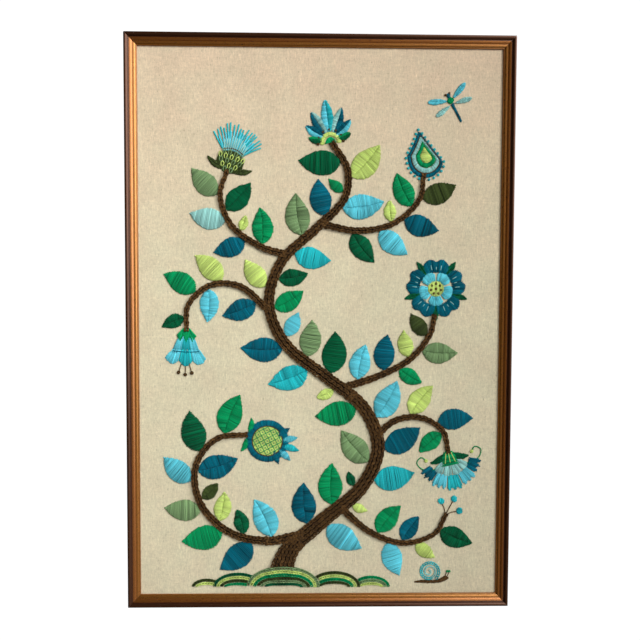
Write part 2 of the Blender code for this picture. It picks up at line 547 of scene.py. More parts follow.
def pomegranate(at):
    """A fruit with a satin rind, a laid and trellised heart and a pointed crown."""
    k = at.k
    centre = (0, 37)
    for x, turn in ((-1, 176), (1, 4)):
        leaf(at((x * 5, 4)), at.heading(turn), 25 * k, 10.5 * k, "emerald", bend=-0.9 * x * at.f, kind="cross")
    for turn, size, colour in ((90, 30, "turquoise"), (118, 27, "sky"), (62, 27, "sky"), (143, 22, "teal"), (37, 22, "teal")):
        foot = np.array(centre) + unit(math.radians(turn)) * np.array([17, 26])
        leaf(at(foot), at.heading(turn), size * k, 12.5 * k, colour, kind="cross", fat=0.4)
    for start, end in ((-90.5, 90.5), (89.5, 270.5)):
        outer, inner = arc(35, start, end, centre=centre), arc(24.5, start, end, centre=centre)
        satin("teal", at(inner), at(outer), h=0.75, pad=0.9, ragged=0.25)
    # The heart: laid strands, then a trellis tied over them.
    t = np.linspace(-23.4, 23.4, 60)
    half = np.sqrt(24.3**2 - t**2)
    satin("lime", at(t + centre[0], centre[1] - half), at(t + centre[0], centre[1] + half), h=0.6, pad=0.1, ragged=0.1)
    for c in np.arange(-20, 21, 8.0):
        reach = math.sqrt(max(24.0**2 - c * c, 0))
        for turn in (45, 135):
            u, v = unit(math.radians(turn)), unit(math.radians(turn + 90))
            mid = np.array(centre) + v * c
            strand("emerald", at(mid - u * reach), at(mid + u * reach), 1.55, 0.1, 0.62, 0.45)
    for i in np.arange(-16, 17, 8.0):
        for j in np.arange(-16, 17, 8.0):
            if math.hypot(i, j) < 20:
                u, v = unit(math.radians(45)), unit(math.radians(135))
                spot = np.array(centre) + u * i + v * j
                strand("teal", at(spot + (-1.3, 0)), at(spot + (1.3, 0)), 2.1, 0.0, 0.62, 0.45)
    back_stitch("brown", at(arc(24.6, 0, 360, 90, centre)), 6.0, 0.8, 0.6, 1.2)


def carnation(at):
    """A fan of toothed petals over a cup."""
    k = at.k
    for x, turn in ((-1, 152), (1, 28)):
        leaf(at((x * 4, 4)), at.heading(turn), 33 * k, 12 * k, "green", bend=-0.8 * x * at.f)
    spread = (-58, -29, 0, 29, 58)
    colours = ("teal", "sky", "turquoise", "sky", "teal")
    for mid, colour in zip(spread, colours):
        a0, a1 = 90 - mid - 13.4, 90 - mid + 13.4
        n = 61
        a = np.linspace(a0, a1, n)
        teeth = np.abs(((a - a0) / (a1 - a0) * 3) % 1.0 - 0.5) * 2
        outer = (62 - abs(mid) * 0.09) - 6.5 * teeth**1.2
        r = np.radians(a)
        edge = np.stack([outer * np.cos(r), 6 + outer * np.sin(r)], -1)
        inner = np.stack([34.5 * np.cos(r), 6 + 34.5 * np.sin(r)], -1)
        satin(colour, at(inner), at(edge), pad=0.4)
    for mid in (-44, -15, 15, 44):
        a0, a1 = 90 - mid - 13.6, 90 - mid + 13.6
        a = np.linspace(a0, a1, 41)
        bump = np.sin((a - a0) / (a1 - a0) * math.pi) ** 0.7
        r = np.radians(a)
        outer = 31.5 + 6.0 * bump
        satin(
            "aqua",
            at(np.stack([16 * np.cos(r), 6 + 16 * np.sin(r)], -1)),
            at(np.stack([outer * np.cos(r), 6 + outer * np.sin(r)], -1)),
            pad=0.6,
            h=0.8,
        )
    # The cup.
    y = np.linspace(-2, 24, 40)
    half = np.interp(y, [-2, 2, 9, 15, 20, 24], [3.5, 8.5, 12.0, 12.5, 14.5, 17.0])
    satin("emerald", at(-half, y + 0.0), at(half, y + 0.0), pad=1.0, h=0.85)
    for x in (-9, 0, 9):
        strand("lime", at((x * 0.45, 1)), at((x, 20)), 2.1, 0.1, 0.7, 0.5)
    for x in (-1, 1):
        path = at(smooth([(x * 15, 22), (x * 33, 26), (x * 49, 20), (x * 55, 8), (x * 46, 1), (x * 39, 8)], 40))
        back_stitch("emerald", path, 6.0)
        knot("lime", path[-1], 2.5)


def rose(at):
    """A five-petalled rose in two rings."""
    k = at.k
    for i in range(5):
        turn = 90 + 72 * i
        leaf(at(unit(math.radians(turn + 36)) * 27), at.heading(turn + 36), 27 * k, 11 * k, "green", kind="bone", fat=0.4)
    for i in range(5):
        turn = math.radians(90 + 72 * i)
        a = np.linspace(-33, 33, 61)
        f = a / 33
        notch = 5.0 * np.exp(-((f / 0.22) ** 2))
        r_out = 48.5 * (1 - 0.22 * np.abs(f) ** 3.2) - notch
        r = np.radians(a) + turn
        outer = np.stack([r_out * np.cos(r), r_out * np.sin(r)], -1)
        inner = np.stack([25.5 * np.cos(np.radians(a * 1.02) + turn), 25.5 * np.sin(np.radians(a * 1.02) + turn)], -1)
        satin("teal", at(inner), at(outer), pad=0.5, tone=0.03 * (i % 2))
    for i in range(5):
        turn = math.radians(90 + 36 + 72 * i)
        a = np.linspace(-31, 31, 41)
        f = a / 31
        r_out = 28.5 * (1 - 0.2 * np.abs(f) ** 3)
        r = np.radians(a) + turn
        satin(
            "sky",
            at(np.stack([12.5 * np.cos(r), 12.5 * np.sin(r)], -1)),
            at(np.stack([r_out * np.cos(r), r_out * np.sin(r)], -1)),
            pad=0.6,
            h=0.85,
        )
    t = np.linspace(-0.98, 0.98, 40)
    half = np.sqrt(1 - t**2) * 12.6
    satin("lime", at(t * 12.6, -half), at(t * 12.6, half), pad=0.5, h=0.8)
    for i in range(7):
        knot("brown", at(unit(math.radians(90 + 360 / 7 * i)) * 8.2), 2.1)
    knot("brown", at((0, 0)), 2.3)
    for i in range(5):
        turn = math.radians(90 + 72 * i)
        for da in (-13, 0, 13):
            u = unit(turn + math.radians(da))
            strand("aqua", at(u * 29.5), at(u * (39 if da else 36)), 1.6, 0.1, 0.66, 0.5)


def bell(at):
    """A hanging bell flower, drawn from its cap to its lip."""
    k = at.k
    for x in (-1, 0, 1):
        strand("brown", at((x * 5, 50)), at((x * 9.5, 68 - abs(x) * 3)), 0.8, 0.1, 0.7, 0.5)
        knot("brown", at((x * 10, 70 - abs(x) * 3)), 2.5)
    for f0, f1, colour in ((-1.0, -0.36, "sky"), (-0.34, 0.34, "turquoise"), (0.36, 1.0, "sky")):
        n = 41
        f = np.linspace(f0, f1, n)
        g = (f - f0) / (f1 - f0)
        scallop = 7.5 * np.sin(g * math.pi) ** 0.8
        bottom = np.stack([f * 31.5, 50.5 - 5.5 * np.abs(f) + scallop], -1)
        top = np.stack([f * 11.5, 11.5 + 0 * f], -1)
        # Follow the bell's waist with two runs of strands.
        waist = np.stack([f * 20.5, 31 + 0 * f], -1)
        satin(colour, at(top), at(waist + (0, 1.4)), pad=0.6)
        satin(colour, at(waist), at(bottom), pad=0.4, tone=0.02)
    a = np.linspace(-1, 1, 61)
    teeth = np.abs((((a + 1) / 2 * 3) % 1.0) - 0.5) * 2
    low = np.stack([a * 15.5, 22 - 9.0 * teeth - 3 * np.abs(a)], -1)
    top = np.stack([a * 4.0, 0 * a - 1.0], -1)
    satin("emerald", at(top), at(low), pad=0.5, h=1.25)
    back_stitch("teal", at(np.stack([a * 20.8, 33.5 + 1.6 * (1 - a**2)], -1)), 6.0, 0.85, 0.62, 1.7)


def thistle(at):
    """A scaly round cup with a tall tuft."""
    k = at.k
    for layer, (n, size, spread, colour, start) in enumerate(
        ((17, 62, 46, "turquoise", 30), (14, 52, 40, "sky", 30), (11, 42, 30, "aqua", 30))
    ):
        for i in range(n):
            f = i / (n - 1) * 2 - 1
            turn = math.radians(90 - f * spread + rng.normal(0, 1.0))
            foot = np.array([f * 15, start + 4 * (1 - f * f)])
            tip = np.array([0, 16]) + unit(turn) * (size + rng.normal(0, 1.6) - 5 * f * f)
            strand(colour, at(foot), at(tip), 0.75 + 0.35 * layer, 0.5, 1.25, 0.66, rng.normal(0, 0.05))
    for x, turn in ((-1, 170), (1, 10)):
        leaf(at((x * 8, 4)), at.heading(turn), 34 * k, 11 * k, "olive", bend=0.7 * x * at.f, kind="bone")
    # The cup: laid, with rows of scales over it.
    t = np.linspace(-0.985, 0.985, 60)
    half = np.sqrt(1 - t**2)
    satin("olive", at(t * 22.5, 17 - half * 19.5), at(t * 22.5, 17 + half * 17.5), pad=0.9, h=0.8)
    rows = ((31, (-14, -5, 5, 14)), (24, (-18, -9.5, 0, 9.5, 18)), (17, (-15, -5, 5, 15)), (10, (-10.5, 0, 10.5)), (3.5, (-5, 5)))
    for j, (y, xs) in enumerate(rows):
        for x in xs:
            lean = x * 0.12
            colour = ("sage", "lime")[j % 2]
            loop(colour, at((x - lean * 0.2, y - 5.0)), at((x + lean, y + 3.4)), 6.6 * k, 0.78)
            kind = yarns[(colour, 12)]
            kind[0][-1][:, 2] += 1.15
            kind = yarns[(colour, 7)]
            kind[0][-1][:, 2] += 0.9
    back_stitch("brown", at(smooth([(-17, 33.5), (-8, 37), (0, 38), (8, 37), (17, 33.5)], 30)), 5.5, 0.9, 0.65, 2.0)


def paisley(at):
    """A curled drop in satin bands round a satin heart, with a ring of knots outside and a stem-stitch line between
    the outer bands.
    """

    def outline(grow):
        a = np.linspace(0, 2 * math.pi, 121)
        r = 31 * grow
        x, y = r * np.cos(a) * 0.94, r * np.sin(a)
        lift = np.clip((y + r) / (2 * r), 0, 1)
        y = y * (1 + 0.62 * np.clip(lift - 0.45, 0, 1))
        bend = np.clip(lift - 0.35, 0, 1) ** 1.6
        narrow = 1 - 0.9 * np.clip(lift - 0.5, 0, 0.5) * 2 * 0.80
        return np.stack([x * narrow + bend * 34 * grow, 33 + (y - 6 * grow)], -1)

    bands = [outline(g) for g in (1.0, 0.8, 0.56, 0.34)]
    for i, (colour, one, two) in enumerate((("teal", 1, 0), ("aqua", 2, 1), ("emerald", 3, 2))):
        inner, outer = bands[one], bands[two]
        for part in (slice(0, 61), slice(60, 121)):
            satin(colour, at(inner[part]), at(outer[part]), pad=0.6, h=0.7 + 0.06 * i, ragged=0.2)
    heart = bands[3]
    left, right = heart[30:91], np.concatenate([heart[30::-1], heart[:89:-1]])
    satin("lime", at(along(right, np.linspace(0.02, 0.98, 50))), at(along(left, np.linspace(0.02, 0.98, 50))), pad=0.8)
    rim = outline(1.07)
    for t in np.linspace(0.03, 0.985, 26):
        knot("turquoise", at(along(rim, t)), 1.9)
    back_stitch("brown", at(bands[1]), 6.0, 0.8, 0.6, 1.35)


def palmette(at):
    """A pointed flower of seven two-tone petals over a banded base."""
    k = at.k
    petals = (
        (172, 34, 13, 0.55, "green", "emerald"),
        (8, 34, 13, -0.55, "emerald", "green"),
        (146, 44, 16, 0.35, "sky", "teal"),
        (34, 44, 16, -0.35, "teal", "sky"),
        (119, 52, 18, 0.18, "teal", "aqua"),
        (61, 52, 18, -0.18, "aqua", "teal"),
        (90, 62, 20, 0.0, "sky", "turquoise"),
    )
    for turn, size, width, bend, one, two in petals:
        foot = unit(math.radians(turn)) * 11 + (0, 8)
        leaf(at(foot), at.heading(turn), (size - 11) * k, width * k, one, two, bend=-bend * at.f, fat=0.45)
    for r0, r1, colour, lift in ((9.0, 16.5, "lime", 0.9), (0.5, 8.6, "emerald", 1.1)):
        inner, outer = arc(r0, -8, 188, 50, (0, 4)), arc(r1, -8, 188, 50, (0, 4))
        satin(colour, at(inner), at(outer), pad=0.4, h=lift)
    for i in range(7):
        knot("brown", at(unit(math.radians(i * 30)) * 19.5 + (0, 4)), 2.0)


def berries(at, colour, n=3):
    for i in range(n):
        turn = 90 + (i - (n - 1) / 2) * 46
        far = 20 if n > 1 and i % 2 == 0 else 26
        end = unit(math.radians(turn)) * far
        back_stitch("brown", at(smooth([(0, 0), end * 0.5 + (0, 1.5), end], 12)), 5.0, 0.75, 0.55)
        disc(colour, at(end + unit(math.radians(turn)) * 4.5), 5.6 * at.k, at.heading(turn + 60), pad=1.4)


def hills(table, foot):
    """Hillocks of bowed chain rows, one row inside the other; the first ones in the table lie in front."""
    done = []

    def hidden(p):
        return any(
            p[1] > c[1] - 3 and math.hypot((p[0] - c[0]) / (half - 1.5), (p[1] - c[1]) / (height - 1.5)) < 1 for c, half, height in done
        )

    step = 5.6
    for centre, half, height, rows in table:
        for i, colour in enumerate(rows):
            tall, wide = height - (i + 0.5) * step, half - (i + 0.5) * step
            if min(tall, wide) < 2.5:
                break
            a = np.linspace(0.0, math.pi, 160)
            line = np.stack([centre[0] - wide * np.cos(a), centre[1] + tall * np.sin(a)], -1)
            shown = np.array([0, *(not hidden(p) for p in line), 0])
            for first, last in np.flatnonzero(np.diff(shown)).reshape(-1, 2):
                run = line[first:last]
                if len(run) < 4 or lengths(run)[-1] < 8:
                    continue
                # The rows pass over the foot of the trunk.
                near = np.hypot(0.8 * (run[:, 0] - foot[0]), run[:, 1] - foot[1])
                over = 3.5 * np.clip((26 - near) / 9, 0, 1) + 0.25 * (len(table) - len(done)) / len(table)
                under = np.interp(np.linspace(0.02, 0.98, BED_RINGS), np.linspace(0, 1, len(run)), over)
                # The bed is coloured darker than the row, painted shade in the gaps between its loops and rows.
                bed(colour, offset(run, step * 0.42), offset(run, -step * 0.42), under + 0.5, -0.5, 0.8, keep=(0.0, 0.0))
                chain_row(colour, run, step * 1.04, 6.2, dome=over, start=rng.uniform(0, 2), uneven=0.12, plump=0.25)
        done.append((centre, half, height))


def snail(at):
    """A small snail: a coiled shell of chain stitch on a satin foot."""
    a = np.linspace(0, 2.35 * 2 * math.pi, 110)
    r = 17.5 * (1 - a / a[-1]) ** 0.85 + 1.2
    coil = np.stack([r * np.cos(a - 0.9), 22 + r * np.sin(a - 0.9)], -1)
    third = len(coil) * 2 // 5
    chain_row("turquoise", at(coil[: third + 2]), 6.6 * at.k, 6.0, tone=0.0)
    chain_row("aqua", at(coil[third:]), 6.2 * at.k, 5.4, tone=0.0)
    top = smooth([(-27, 3.5), (-16, 6.5), (0, 6.8), (15, 7.0), (24, 11.5), (31, 14.5), (36, 11)], 50)
    low = smooth([(-27, 1.5), (-16, 0.5), (0, 0.0), (15, 0.2), (26, 2.5), (33, 6.5), (36, 9)], 50)
    satin("brown", at(top), at(low), pad=0.5, ragged=0.2)
    for x in (29, 33.5):
        strand("brown", at((x, 13)), at((x + 3.5, 21)), 0.7, 0.0, 0.6, 0.45)
        knot("emerald", at((x + 4, 22.5)), 1.7)


def dragonfly(at):
    """A slender body with two pairs of looped wings."""
    for x in (-1, 1):
        for turn, size, wide, colour in ((24, 35, 10.5, "sky"), (-10, 31, 9.5, "aqua")):
            foot = np.array([x * 2.6, 30 + (3 if turn > 0 else -4)])
            way = turn if x > 0 else 180 - turn
            leaf(at(foot), at.heading(way), size * at.k, wide * at.k, colour, fat=0.66, blunt=1.1)
    y = np.linspace(-6, 27, 40)
    half = np.interp(y, [-6, 0, 20, 27], [1.6, 2.4, 2.6, 3.6])
    satin("teal", at(-half, y - 0.8), at(half, y + 0.8), pad=0.7, h=1.0, ragged=0.1)
    disc("emerald", at((0, 33)), 5.6 * at.k, at.heading(0), pad=1.4)
    disc("teal", at((0, 41.5)), 3.8 * at.k, at.heading(90), pad=1.4)
    for x in (-1, 1):
        knot("brown", at((x * 3.4, 44.5)), 1.7)


# ---- embroidery: the design -------------------------------------------------

MAIN = smooth(
    [(-62, -412.5), (-59.5, -400), (-44, -371), (10, -324), (70, -272), (98, -204), (72, -136), (8, -84), (-56, -32),
     (-84, 34), (-64, 104), (-8, 158), (38, 206), (44, 256), (18, 300)],
    150,
)  # fmt: skip
MAIN_W = np.interp(np.linspace(0, 1, 150), [0, 0.05, 0.15, 0.5, 0.8, 1], [42, 30, 25, 21, 16.5, 11])

# name: points, width at its start and end
BRANCHES = {
    "low_left": ([(-24, -350), (-88, -362), (-152, -346), (-198, -298), (-206, -236), (-172, -190), (-120, -182)], 17, 9.5),
    "root_right": ([(34, -304), (84, -346), (140, -366), (192, -352), (214, -316)], 14, 7.5),
    "low_right": ([(92, -186), (128, -158), (170, -154), (206, -176), (216, -214)], 13.5, 8.5),
    "mid_right": ([(38, -104), (98, -84), (150, -56), (182, -16), (190, 18)], 14.5, 9),
    "mid_left": ([(-83, 22), (-128, 62), (-178, 66), (-216, 34), (-220, -10)], 13.5, 8.5),
    "high_left": ([(-54, 116), (-100, 130), (-146, 164), (-164, 212), (-152, 254)], 13.5, 8),
    "high_right": ([(4, 166), (62, 156), (120, 168), (162, 206), (170, 250)], 13.5, 8),
}


def dress(path, width, first, last, step, sizes, colours, sides=(1, -1), ratio=0.6, lean=56, bend=0.35, begin=0, kinds="bc", least=20):
    """Leaves along both sides of a stem, each as large as its place allows."""
    total = lengths(path)[-1]
    wide = np.broadcast_to(np.asarray(width, float), (len(path),))
    at, i = first * total, begin
    while at <= last * total:
        for side in sides:
            t = min((at + (0.0 if side > 0 else step * 0.42)) / total, 1.0)
            c = along(path, t)
            d = along(headings(path), t)
            heading = math.atan2(d[1], d[0])
            w = float(np.interp(t, np.linspace(0, 1, len(path)), wide))
            base = c + unit(heading + side * math.pi / 2) * (w / 2 - 0.7)
            found = fit_leaf(
                base,
                heading + side * math.radians(lean),
                [z for z in sizes if z >= least],
                ratio,
                (0.0, 0.16, -0.16, 0.32, -0.32, 0.5, -0.5),
                bend=-side * bend,
            )
            if found:
                length, angle = found
                colour = colours[i % len(colours)]
                kind = "cross" if kinds[i % len(kinds)] == "c" else "bone"
                leaf(base, angle, length, length * ratio, colour, kind=kind, bend=-side * bend)
                i += 1
        at += step
    return i


def at_tip(path, size=1.0, turn=0.0, back=3.0, flip=False):
    d = path[-1] - path[-4]
    heading = math.degrees(math.atan2(d[1], d[0]))
    return Spot(path[-1] - unit(math.radians(heading)) * back, heading + turn, size, flip)


def stitch_design():
    paths = {}
    for name, (pts, w0, w1) in BRANCHES.items():
        paths[name] = (smooth(pts, 90), np.linspace(w0, w1, 90))
    # The stems come first, so that all else keeps clear of them.
    stem("brown", MAIN, MAIN_W)
    for name, (path, width) in paths.items():
        stem("brown", path, width, dome=0.6)

    pomegranate(at_tip(paths["low_left"][0], 1.02, -22))
    carnation(at_tip(paths["low_right"][0], 1.0))
    rose(Spot(paths["mid_right"][0][-1] + (2, 43), 90, 1.04))
    bell(at_tip(paths["mid_left"][0], 1.08))
    thistle(at_tip(paths["high_left"][0], 1.0))
    paisley(at_tip(paths["high_right"][0], 1.02, flip=True))
    palmette(Spot(MAIN[-1] + (-1, -5), 98, 1.08))
    tip, width = paths["root_right"]
    berries(at_tip(tip, 1.0), "turquoise", 3)
    snail(Spot((186, -436), 90, 0.92))
    dragonfly(Spot((228, 340), 118, 1.0))

    greens = ("sage", "lime", "emerald", "olive", "sage", "green", "lime", "emerald", "olive")
    hills(
        (
            ((-60, -441), 62, 36, greens),
            ((26, -441), 44, 27, ("olive", *greens[1:])),
            ((-136, -441), 42, 25, ("green", "lime", "olive", "emerald", "sage")),
            ((88, -441), 32, 19, ("emerald", "sage", "lime", "green")),
            ((-188, -441), 26, 15, ("olive", "lime", "emerald")),
        ),
        MAIN[0],
    )

    large = (70, 66, 61, 56, 50, 44, 38, 32, 27)
    medium = (60, 55, 50, 45, 40, 36, 31, 27)
    dress(*paths["low_left"], 0.10, 0.98, 50, large, ("sky", "teal", "green", "emerald", "lime", "sage", "olive"))
    dress(MAIN, MAIN_W, 0.10, 0.97, 52, large, ("teal", "sky", "emerald", "lime", "green", "turquoise", "sage"), lean=50)
    dress(*paths["root_right"], 0.16, 1.0, 46, medium, ("emerald", "sky", "teal", "lime", "green", "sage"))
    dress(*paths["low_right"], 0.14, 0.98, 46, medium, ("lime", "teal", "emerald", "aqua", "green"))
    dress(*paths["mid_right"], 0.14, 0.98, 48, medium, ("sky", "teal", "emerald", "lime", "sage", "olive"))
    dress(*paths["mid_left"], 0.14, 1.0, 46, medium, ("teal", "lime", "sky", "emerald", "green", "olive"))
    dress(*paths["high_left"], 0.14, 0.98, 44, medium, ("emerald", "teal", "lime", "aqua", "green", "sage"))
    dress(*paths["high_right"], 0.14, 0.98, 44, medium, ("green", "sky", "lime", "teal", "emerald", "olive"))


stitch_design()

# ---- embroidery: end --------------------------------------------------------

# ---- meshes -----------------------------------------------------------------

SIDES = 6


def to_world(p):
    """Picture-plane (x, z, h) in millimetres to the row frame in metres."""
    return np.stack([p[..., 0] * MM, FACE_Y - p[..., 2] * MM, Z_MID + p[..., 1] * MM], -1)


def tubes(pts, a, b):
    """Closed tubes along many lines of the same number of points.  The end points are the tips."""
    n, m, _ = pts.shape
    rings = pts[:, 1:-1]
    t = pts[:, 2:] - pts[:, :-2]
    flat = np.maximum(np.hypot(t[..., 0], t[..., 1]), 1e-6)
    side = np.stack([-t[..., 1] / flat, t[..., 0] / flat, np.zeros_like(flat)], -1)
    t = t / np.linalg.norm(t, axis=-1, keepdims=True)
    up = np.cross(t, side)
    phi = np.arange(SIDES) / SIDES * 2 * math.pi
    a, b = a[:, None, None, None], b[:, None, None, None]
    # The strand is drawn in where it enters the cloth.
    share = np.ones(m - 2)
    share[[0, -1]] = 0.78
    share = share[None, :, None, None]
    co = (
        rings[:, :, None]
        + side[:, :, None] * (a * share * np.cos(phi)[None, None, :, None])
        + up[:, :, None] * (b * share * np.sin(phi)[None, None, :, None])
    )
    co = np.concatenate([co.reshape(n, -1, 3), pts[:, :1], pts[:, -1:]], axis=1)
    per = (m - 2) * SIDES + 2

    r, k = np.meshgrid(np.arange(m - 3), np.arange(SIDES), indexing="ij")
    k2 = (k + 1) % SIDES
    quads = np.stack([r * SIDES + k, r * SIDES + k2, (r + 1) * SIDES + k2, (r + 1) * SIDES + k], -1)
    quads = quads.reshape(-1, 4)
    k = np.arange(SIDES)
    k2 = (k + 1) % SIDES
    last = (m - 3) * SIDES
    head = np.stack([np.full(SIDES, per - 2), k2, k], -1)
    tail = np.stack([np.full(SIDES, per - 1), last + k, last + k2], -1)
    tris = np.concatenate([head, tail])

    # Along and around, in millimetres.
    step = np.linalg.norm(np.diff(pts, axis=1), axis=-1)
    s = np.concatenate([np.zeros((n, 1)), np.cumsum(step, axis=1)], axis=1)
    round_mm = 2 * math.pi * np.sqrt((a**2 + b**2) / 2)[:, 0, 0, 0]
    rr, kk = np.meshgrid(np.arange(m - 3), np.arange(SIDES), indexing="ij")
    rr, kk = rr.ravel(), kk.ravel()
    ring_s = s[:, 1:-1]
    qu = np.stack([ring_s[:, rr], ring_s[:, rr], ring_s[:, rr + 1], ring_s[:, rr + 1]], -1)
    qv = np.stack([kk, kk + 1, kk + 1, kk], -1)[None] / SIDES * round_mm[:, None, None]
    k = np.arange(SIDES)
    hu = np.stack([np.repeat(s[:, :1], SIDES, 1), ring_s[:, :1].repeat(SIDES, 1), ring_s[:, :1].repeat(SIDES, 1)], -1)
    hv = np.stack([k + 0.5, k + 1, k], -1)[None] / SIDES * round_mm[:, None, None]
    tu = np.stack([np.repeat(s[:, -1:], SIDES, 1), ring_s[:, -1:].repeat(SIDES, 1), ring_s[:, -1:].repeat(SIDES, 1)], -1)
    tv = np.stack([k + 0.5, k, k + 1], -1)[None] / SIDES * round_mm[:, None, None]
    quad_uv = np.stack([qu, np.broadcast_to(qv, qu.shape)], -1)
    tri_uv = np.stack([np.concatenate([hu, tu], 1), np.concatenate([np.broadcast_to(hv, hu.shape), np.broadcast_to(tv, tu.shape)], 1)], -1)
    return co, quads, tris, quad_uv, tri_uv, s[:, -1], round_mm


def beds_mesh(items):
    """Low closed cushions between two lines."""
    across = np.array([0.0, 0.16, 0.5, 0.84, 1.0])
    rise = np.array([0.0, 0.78, 1.0, 0.78, 0.0])
    n, rings, k = len(items), BED_RINGS, len(across)
    sides = np.stack([i[0] for i in items])  # n, 2, rings, 2
    height = np.stack([np.broadcast_to(i[1], rings) for i in items])
    pa, pb = sides[:, 0], sides[:, 1]
    p = pa[:, :, None] + (pb - pa)[:, :, None] * across[None, None, :, None]
    wide = np.hypot(*np.moveaxis(pb - pa, -1, 0))
    full = np.clip(wide / 7.0, 0.15, 1.0)
    lift = height * full
    ends = np.minimum(1.0, np.minimum(np.arange(rings), np.arange(rings)[::-1]) / 1.0 + 0.1)
    lift = lift * ends[None]
    h = -0.3 + (lift[:, :, None] + 0.3) * rise[None, None]
    co = np.concatenate([p, h[..., None]], -1).reshape(n, -1, 3)
    # Whichever way the two lines run, the top faces the viewer.
    step = (pa[:, -1] + pb[:, -1] - pa[:, 0] - pb[:, 0]) / 2
    over = (pb - pa).mean(1)
    flip = step[:, 0] * over[:, 1] - step[:, 1] * over[:, 0] < 0
    r, c = np.meshgrid(np.arange(rings - 1), np.arange(k), indexing="ij")
    c2 = (c + 1) % k
    quads = np.stack([r * k + c, (r + 1) * k + c, (r + 1) * k + c2, r * k + c2], -1).reshape(-1, 4)
    caps = np.stack([np.arange(k), (rings - 1) * k + np.arange(k)[::-1]])
    return co, quads, caps, flip


def shelf(sizes, heights):
    """Places strips of the given sizes side by side on shelves.  Returns their corners and the square's side."""
    order = np.argsort(-heights, kind="stable")
    side = math.sqrt(float((sizes * heights).sum())) * 1.04
    x = y = top = 0.0
    at = np.zeros((len(sizes), 2))
    for i in order:
        if x + sizes[i] > side:
            x, y, top = 0.0, y + top, 0.0
        at[i] = x, y
        x += sizes[i]
        top = max(top, heights[i])
    return at, max(side, y + top)


